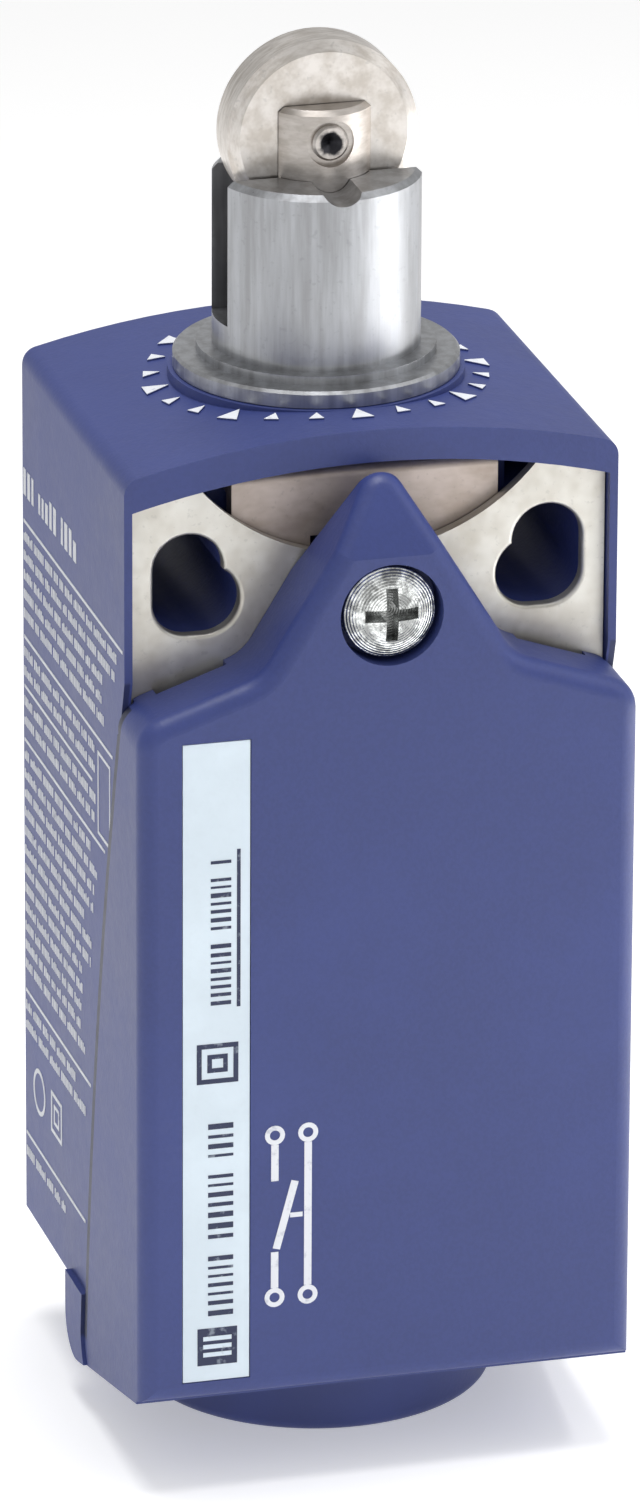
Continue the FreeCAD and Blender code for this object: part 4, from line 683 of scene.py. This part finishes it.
class DressInside(bpy.types.Operator):
    """Gives the contact block, springs, seals and brass their finishes"""
    bl_idname = "switch.dress_inside"
    bl_label = "Inner parts"

    def execute(self, context):
        finish = context.scene.switch_finish
        dress(moulded("block_plastic", (0.62, 0.59, 0.50)), "contact_block_base")
        dress(moulded("lid_plastic", (0.035, 0.036, 0.040), 0.4), "contact_block_cover")
        dress(moulded("actuator_plastic", (0.36, 0.035, 0.025), 0.42), "actuator")
        dress(moulded("carrier_plastic", (0.70, 0.69, 0.64), 0.45), "contact_carrier")
        dress(moulded("retainer_plastic", (0.60, 0.60, 0.56), 0.4), "screw_retainer")
        dress(seal_rubber("seal_rubber"),
              "cover_gasket", "entry_gasket", "head_gasket", "wiper_seal")
        dress(contact_brass("contact_brass"),
              "fixed_contacts_nc", "fixed_contacts_no", "bridge_nc", "bridge_no", "screw_insert")
        dress(plated_steel("spring_wire", (0.52, 0.52, 0.53), 0.30, (2400.0, 2400.0, 2400.0)),
              "plunger_spring", "actuator_spring", "bridge_springs")
        dress(plated_steel("terminal_steel", finish.screw, 0.28, (1600.0, 300.0, 1600.0)),
              "terminal_screws", "terminal_clamps")
        dress(printed_label("label_film", finish), "label")
        return {"FINISHED"}


class PrintIndex(bpy.types.Operator):
    """Inks the index marks round the head"""
    bl_idname = "switch.print_index"
    bl_label = "Index marks"

    def execute(self, context):
        sizes = context.scene.switch_print
        outlines = []
        for number in range(sizes.mark_count):
            long = sizes.long_mark_length if number % 3 == 0 else sizes.mark_length
            angle = math.tau * number / sizes.mark_count
            turn = np.array([[math.cos(angle), -math.sin(angle)],
                             [math.sin(angle), math.cos(angle)]])
            tip, base = sizes.mark_radius - long / 2, sizes.mark_radius + long / 2
            half = 0.45 * long
            corners = np.array([(0.0, -tip), (-half, -base), (half, -base)])
            outlines.append(corners @ turn.T)
        low, high = sizes.mark_relief, sizes.mark_relief + sizes.ink
        points, faces = printed(outlines, on_roof(sizes.roof_drop), low, high)
        finish = context.scene.switch_finish
        ink = print_ink("white_ink", finish.ink, finish.plastic)
        piece("index_ink", points, faces, "housing", ink)
        return {"FINISHED"}


class PrintFlank(bpy.types.Operator):
    """Prints the rating panel's rules and small print on the left side"""
    bl_idname = "switch.print_flank"
    bl_label = "Side print"

    def execute(self, context):
        sizes = context.scene.switch_print
        random = np.random.default_rng(11)
        outlines = []
        for height in PANEL_RULES:
            gap = BOX_RULE_GAP if height == BOX_RULE else 1.0 * MM
            outlines.append(bar(PANEL_BACK, -joint_y(height) - gap, height, height + sizes.rule))
        outlines += small_print(PANEL_BACK, 1.2 * MM, TITLE_LEVEL, TITLE_HEIGHT, random)
        box_end = -joint_y(BOX_TOP_RULE) - 1.6 * MM
        box_start = box_end - BOX_WIDTH
        outlines += frame_strokes(box_start, box_end, BOX_LOW, BOX_HIGH, sizes.rule)
        for top, foot in zip(PANEL_RULES[:-1], PANEL_RULES[1:]):
            level = top - 0.55 * MM - sizes.row_height
            while level > foot + 0.45 * MM:
                end = -joint_y(level) - random.uniform(1.2, 5.0) * MM
                if BOX_FOOT_RULE <= foot < BOX_HIGH:
                    end = box_start - 0.5 * MM
                if not (top == MARKS_RULE and level < MARKS_LEVEL):
                    outlines += small_print(PANEL_BACK, end, level, sizes.row_height, random)
                level -= sizes.row_pitch
        outlines += ring_strokes(*MARK_CENTRE, MARK_RADIUS, MARK_LINE)
        for square in MARK_SQUARES:
            outlines += frame_strokes(*square)
        outlines += small_print(PANEL_BACK, -1.5 * MM, LAST_ROW_LEVEL, sizes.row_height, random)
        points, faces = printed(outlines, on_flank, -INK_SINK, sizes.ink)
        finish = context.scene.switch_finish
        ink = print_ink("side_ink", tinted(finish.ink, 0.80), finish.plastic)
        piece("side_print", points, faces, "housing", ink)
        return {"FINISHED"}


class PrintFront(bpy.types.Operator):
    """Prints a plain contact diagram on the cover's front"""
    bl_idname = "switch.print_front"
    bl_label = "Front symbol"

    def execute(self, context):
        sizes = context.scene.switch_print
        line, ring = DIAGRAM_LINE, DIAGRAM_RING
        left, right, low, high = COLUMN_LEFT, COLUMN_RIGHT, DIAGRAM_LOW, DIAGRAM_HIGH
        middle = (low + high) / 2
        outlines = [
            bar(left - line / 2, left + line / 2, low + ring, middle - 2.3 * MM),
            bar(left - line / 2, left + line / 2, middle + 2.3 * MM, high - ring),
            bar(right - line / 2, right + line / 2, low + ring, high - ring),
            stroke((left + 0.1 * MM, middle - 2.1 * MM),
                   (left + 1.25 * MM, middle + 2.2 * MM), line),
            bar(left + 0.95 * MM, right - line / 2 - 0.1 * MM,
                middle - 0.15 * MM, middle + 0.15 * MM),
        ]
        for u in (left, right):
            for v in (low, high):
                outlines += ring_strokes(u, v, ring, 0.3 * MM, 20)
        points, faces = printed(outlines, on_front, -INK_SINK, sizes.ink)
        finish = context.scene.switch_finish
        ink = print_ink("front_ink", finish.ink, finish.plastic)
        piece("front_symbol", points, faces, "cover", ink)
        return {"FINISHED"}


class PrintLabel(bpy.types.Operator):
    """Prints plain bars and boxes on the label strip"""
    bl_idname = "switch.print_label"
    bl_label = "Label print"

    def execute(self, context):
        random = np.random.default_rng(5)
        left, right = LABEL_LOW.x + 1.0 * MM, LABEL_HIGH.x - 0.85 * MM
        width = right - left
        outlines = [bar(left - 0.1 * MM, right + 0.1 * MM, BADGE_LOW, BADGE_HIGH)]
        for start, end, height, foot in LABEL_ROWS:
            for outline in small_print(start, end, 0.0, height, random, 1.0, (0.10, 0.24)):
                corners = np.asarray(outline)
                outlines.append(np.stack([right - foot - corners[:, 1], corners[:, 0]], 1))
        outlines.append(bar(right + 0.05 * MM, right + 0.27 * MM, UNDERLINE_LOW, UNDERLINE_HIGH))
        outlines += frame_strokes(left - 0.15 * MM, right + 0.15 * MM,
                                  SQUARE_LOW, SQUARE_LOW + width + 0.3 * MM, SQUARE_LINE)
        outlines += frame_strokes(left + 0.5 * MM, right - 0.5 * MM, INNER_SQUARE_LOW,
                                  INNER_SQUARE_LOW + width - 1.1 * MM, INNER_SQUARE_LINE)
        finish = context.scene.switch_finish
        points, faces = printed(outlines, on_label, -0.01 * MM, 0.02 * MM)
        ink = print_ink("label_ink", finish.dark_ink, finish.label)
        piece("label_print", points, faces, "cover", ink)
        pale = [bar(left + 0.25 * MM, right - 0.25 * MM, z, z + BADGE_LINE_WIDTH)
                for z in BADGE_LINES]
        points, faces = printed(pale, on_label, 0.0, 0.035 * MM)
        ink = print_ink("badge_ink", finish.label, finish.dark_ink)
        piece("label_badge_lines", points, faces, "cover", ink)
        return {"FINISHED"}


class ThreadScrew(bpy.types.Operator):
    """Adds the thread to the cover screw's shank"""
    bl_idname = "switch.thread_screw"
    bl_label = "Screw thread"

    def execute(self, context):
        finish = context.scene.switch_finish
        start, end = PLATE_LOW.y + 0.1 * MM, SCREW_HIGH.y - 0.25 * MM
        points, faces = helical_ridge(SCREW_ROOT, SCREW_CREST, SCREW_PITCH, start, end, 0.2 * MM)
        steel = plated_steel("thread_steel", finish.screw, 0.3, (1500.0, 1500.0, 1500.0))
        piece("screw_thread", points, faces, "cover", steel)
        return {"FINISHED"}


class SetStage(bpy.types.Operator):
    """Lays the floor and sets lights and camera"""
    bl_idname = "switch.set_stage"
    bl_label = "Studio"

    def execute(self, context):
        studio = context.scene.switch_studio
        shader = Shader("floor_paper")
        mottle = shader.noise(9.0, 3.0)
        shader.colour(shader.blend(mottle.step(0.3, 0.7), tinted(studio.floor, 0.99), studio.floor))
        shader.roughness(0.85 + (mottle - 0.5) * 0.1)
        shader.surface.inputs["Emission Color"].default_value = (1.0, 1.0, 1.0, 1.0)
        shader.surface.inputs["Emission Strength"].default_value = studio.floor_glow
        floor_z = CAD_BOX[0][2] - FLOOR_GAP
        reach = FLOOR_REACH
        corners = [(x, y, floor_z) for x, y in bar(-reach, reach, -reach, reach)]
        mesh = bpy.data.meshes.new("floor")
        mesh.from_pydata(corners, [], [(0, 1, 2, 3)])
        mesh.materials.append(shader.material)
        floor = bpy.data.objects.new("floor", mesh)
        context.scene.collection.objects.link(floor)

        world = bpy.data.worlds.new("studio")
        world.use_nodes = True
        world.node_tree.nodes["Background"].inputs["Color"].default_value = (1.0, 1.0, 1.0, 1.0)
        world.node_tree.nodes["Background"].inputs["Strength"].default_value = studio.world
        context.scene.world = world
        context.scene.view_settings.view_transform = "Standard"

        aim = Vector((studio.aim_x, 0.0, studio.aim_z))
        self.lamp(context, "key", aim, (0.30, -0.12, 0.22), (0.26, 0.30), 150.0, studio.key)
        beside = Vector((0.175, -0.065, 0.0))
        self.lamp(context, "pool", beside, (0.02, 0.0, 0.25), (0.08, 0.12), 60.0, studio.pool)
        self.lamp(context, "top", aim, (0.0, 0.04, 0.62), (0.34, 0.34), 50.0, studio.top)
        self.lamp(context, "fill", aim, (-0.22, -0.52, 0.22), (0.30, 0.30), 120.0, studio.fill)

        forward = Vector((math.sin(studio.yaw) * math.cos(studio.pitch),
                          math.cos(studio.yaw) * math.cos(studio.pitch), -math.sin(studio.pitch)))
        level = Vector((math.cos(studio.yaw), -math.sin(studio.yaw), 0.0))
        above = level.cross(forward)
        right = level * math.cos(studio.roll) + above * math.sin(studio.roll)
        upward = above * math.cos(studio.roll) - level * math.sin(studio.roll)
        lens = bpy.data.cameras.new("camera")
        lens.sensor_fit = "VERTICAL"
        lens.sensor_height = 24.0
        lens.lens = lens.sensor_height * studio.distance / studio.view_height
        lens.clip_start, lens.clip_end = 0.01, 20.0
        camera = bpy.data.objects.new("camera", lens)
        place = Matrix((right, upward, -forward)).transposed().to_4x4()
        place.translation = aim - forward * studio.distance
        camera.matrix_world = place
        context.scene.collection.objects.link(camera)
        context.scene.camera = camera
        return {"FINISHED"}

    def lamp(self, context, name, aim, offset, size, spread, watts):
        """Soft rectangle of light, turned to face the object, with its beam's spread in degrees."""
        light = bpy.data.lights.new(name, "AREA")
        light.shape, light.size, light.size_y = "RECTANGLE", size[0], size[1]
        light.spread, light.energy = math.radians(spread), watts
        lamp = bpy.data.objects.new(name, light)
        lamp.location = aim + Vector(offset)
        lamp.rotation_euler = Vector(offset).to_track_quat("Z", "Y").to_euler()
        context.scene.collection.objects.link(lamp)


MAKING = (DressCase, DressMetal, DressInside, PrintIndex, PrintFlank, PrintFront, PrintLabel,
          ThreadScrew, SetStage)
SETTINGS = {"switch_finish": SwitchFinish, "switch_print": SwitchPrint,
            "switch_studio": SwitchStudio}


class SwitchPanel(bpy.types.Panel):
    """Lists the settings and the steps of the limit switch's looks"""
    bl_idname = "VIEW3D_PT_limit_switch"
    bl_label = "Limit switch"
    bl_space_type = "VIEW_3D"
    bl_region_type = "UI"
    bl_category = "Limit switch"

    def draw(self, context):
        for name, group in SETTINGS.items():
            column = self.layout.column(align=True)
            for setting in group.__annotations__:
                column.prop(getattr(context.scene, name), setting)
        for step in MAKING:
            self.layout.operator(step.bl_idname)


def register():
    for item in (*SETTINGS.values(), *MAKING, SwitchPanel):
        bpy.utils.register_class(item)
    for name, group in SETTINGS.items():
        setattr(bpy.types.Scene, name, PointerProperty(type=group))


def unregister():
    for name in SETTINGS:
        delattr(bpy.types.Scene, name)
    for item in reversed((*SETTINGS.values(), *MAKING, SwitchPanel)):
        bpy.utils.unregister_class(item)


def main():
    """Makes every finish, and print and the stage."""
    register()
    for step in MAKING:
        group, name = step.bl_idname.split(".")
        getattr(getattr(bpy.ops, group), name)()


if __name__ == "__main__":
    main()
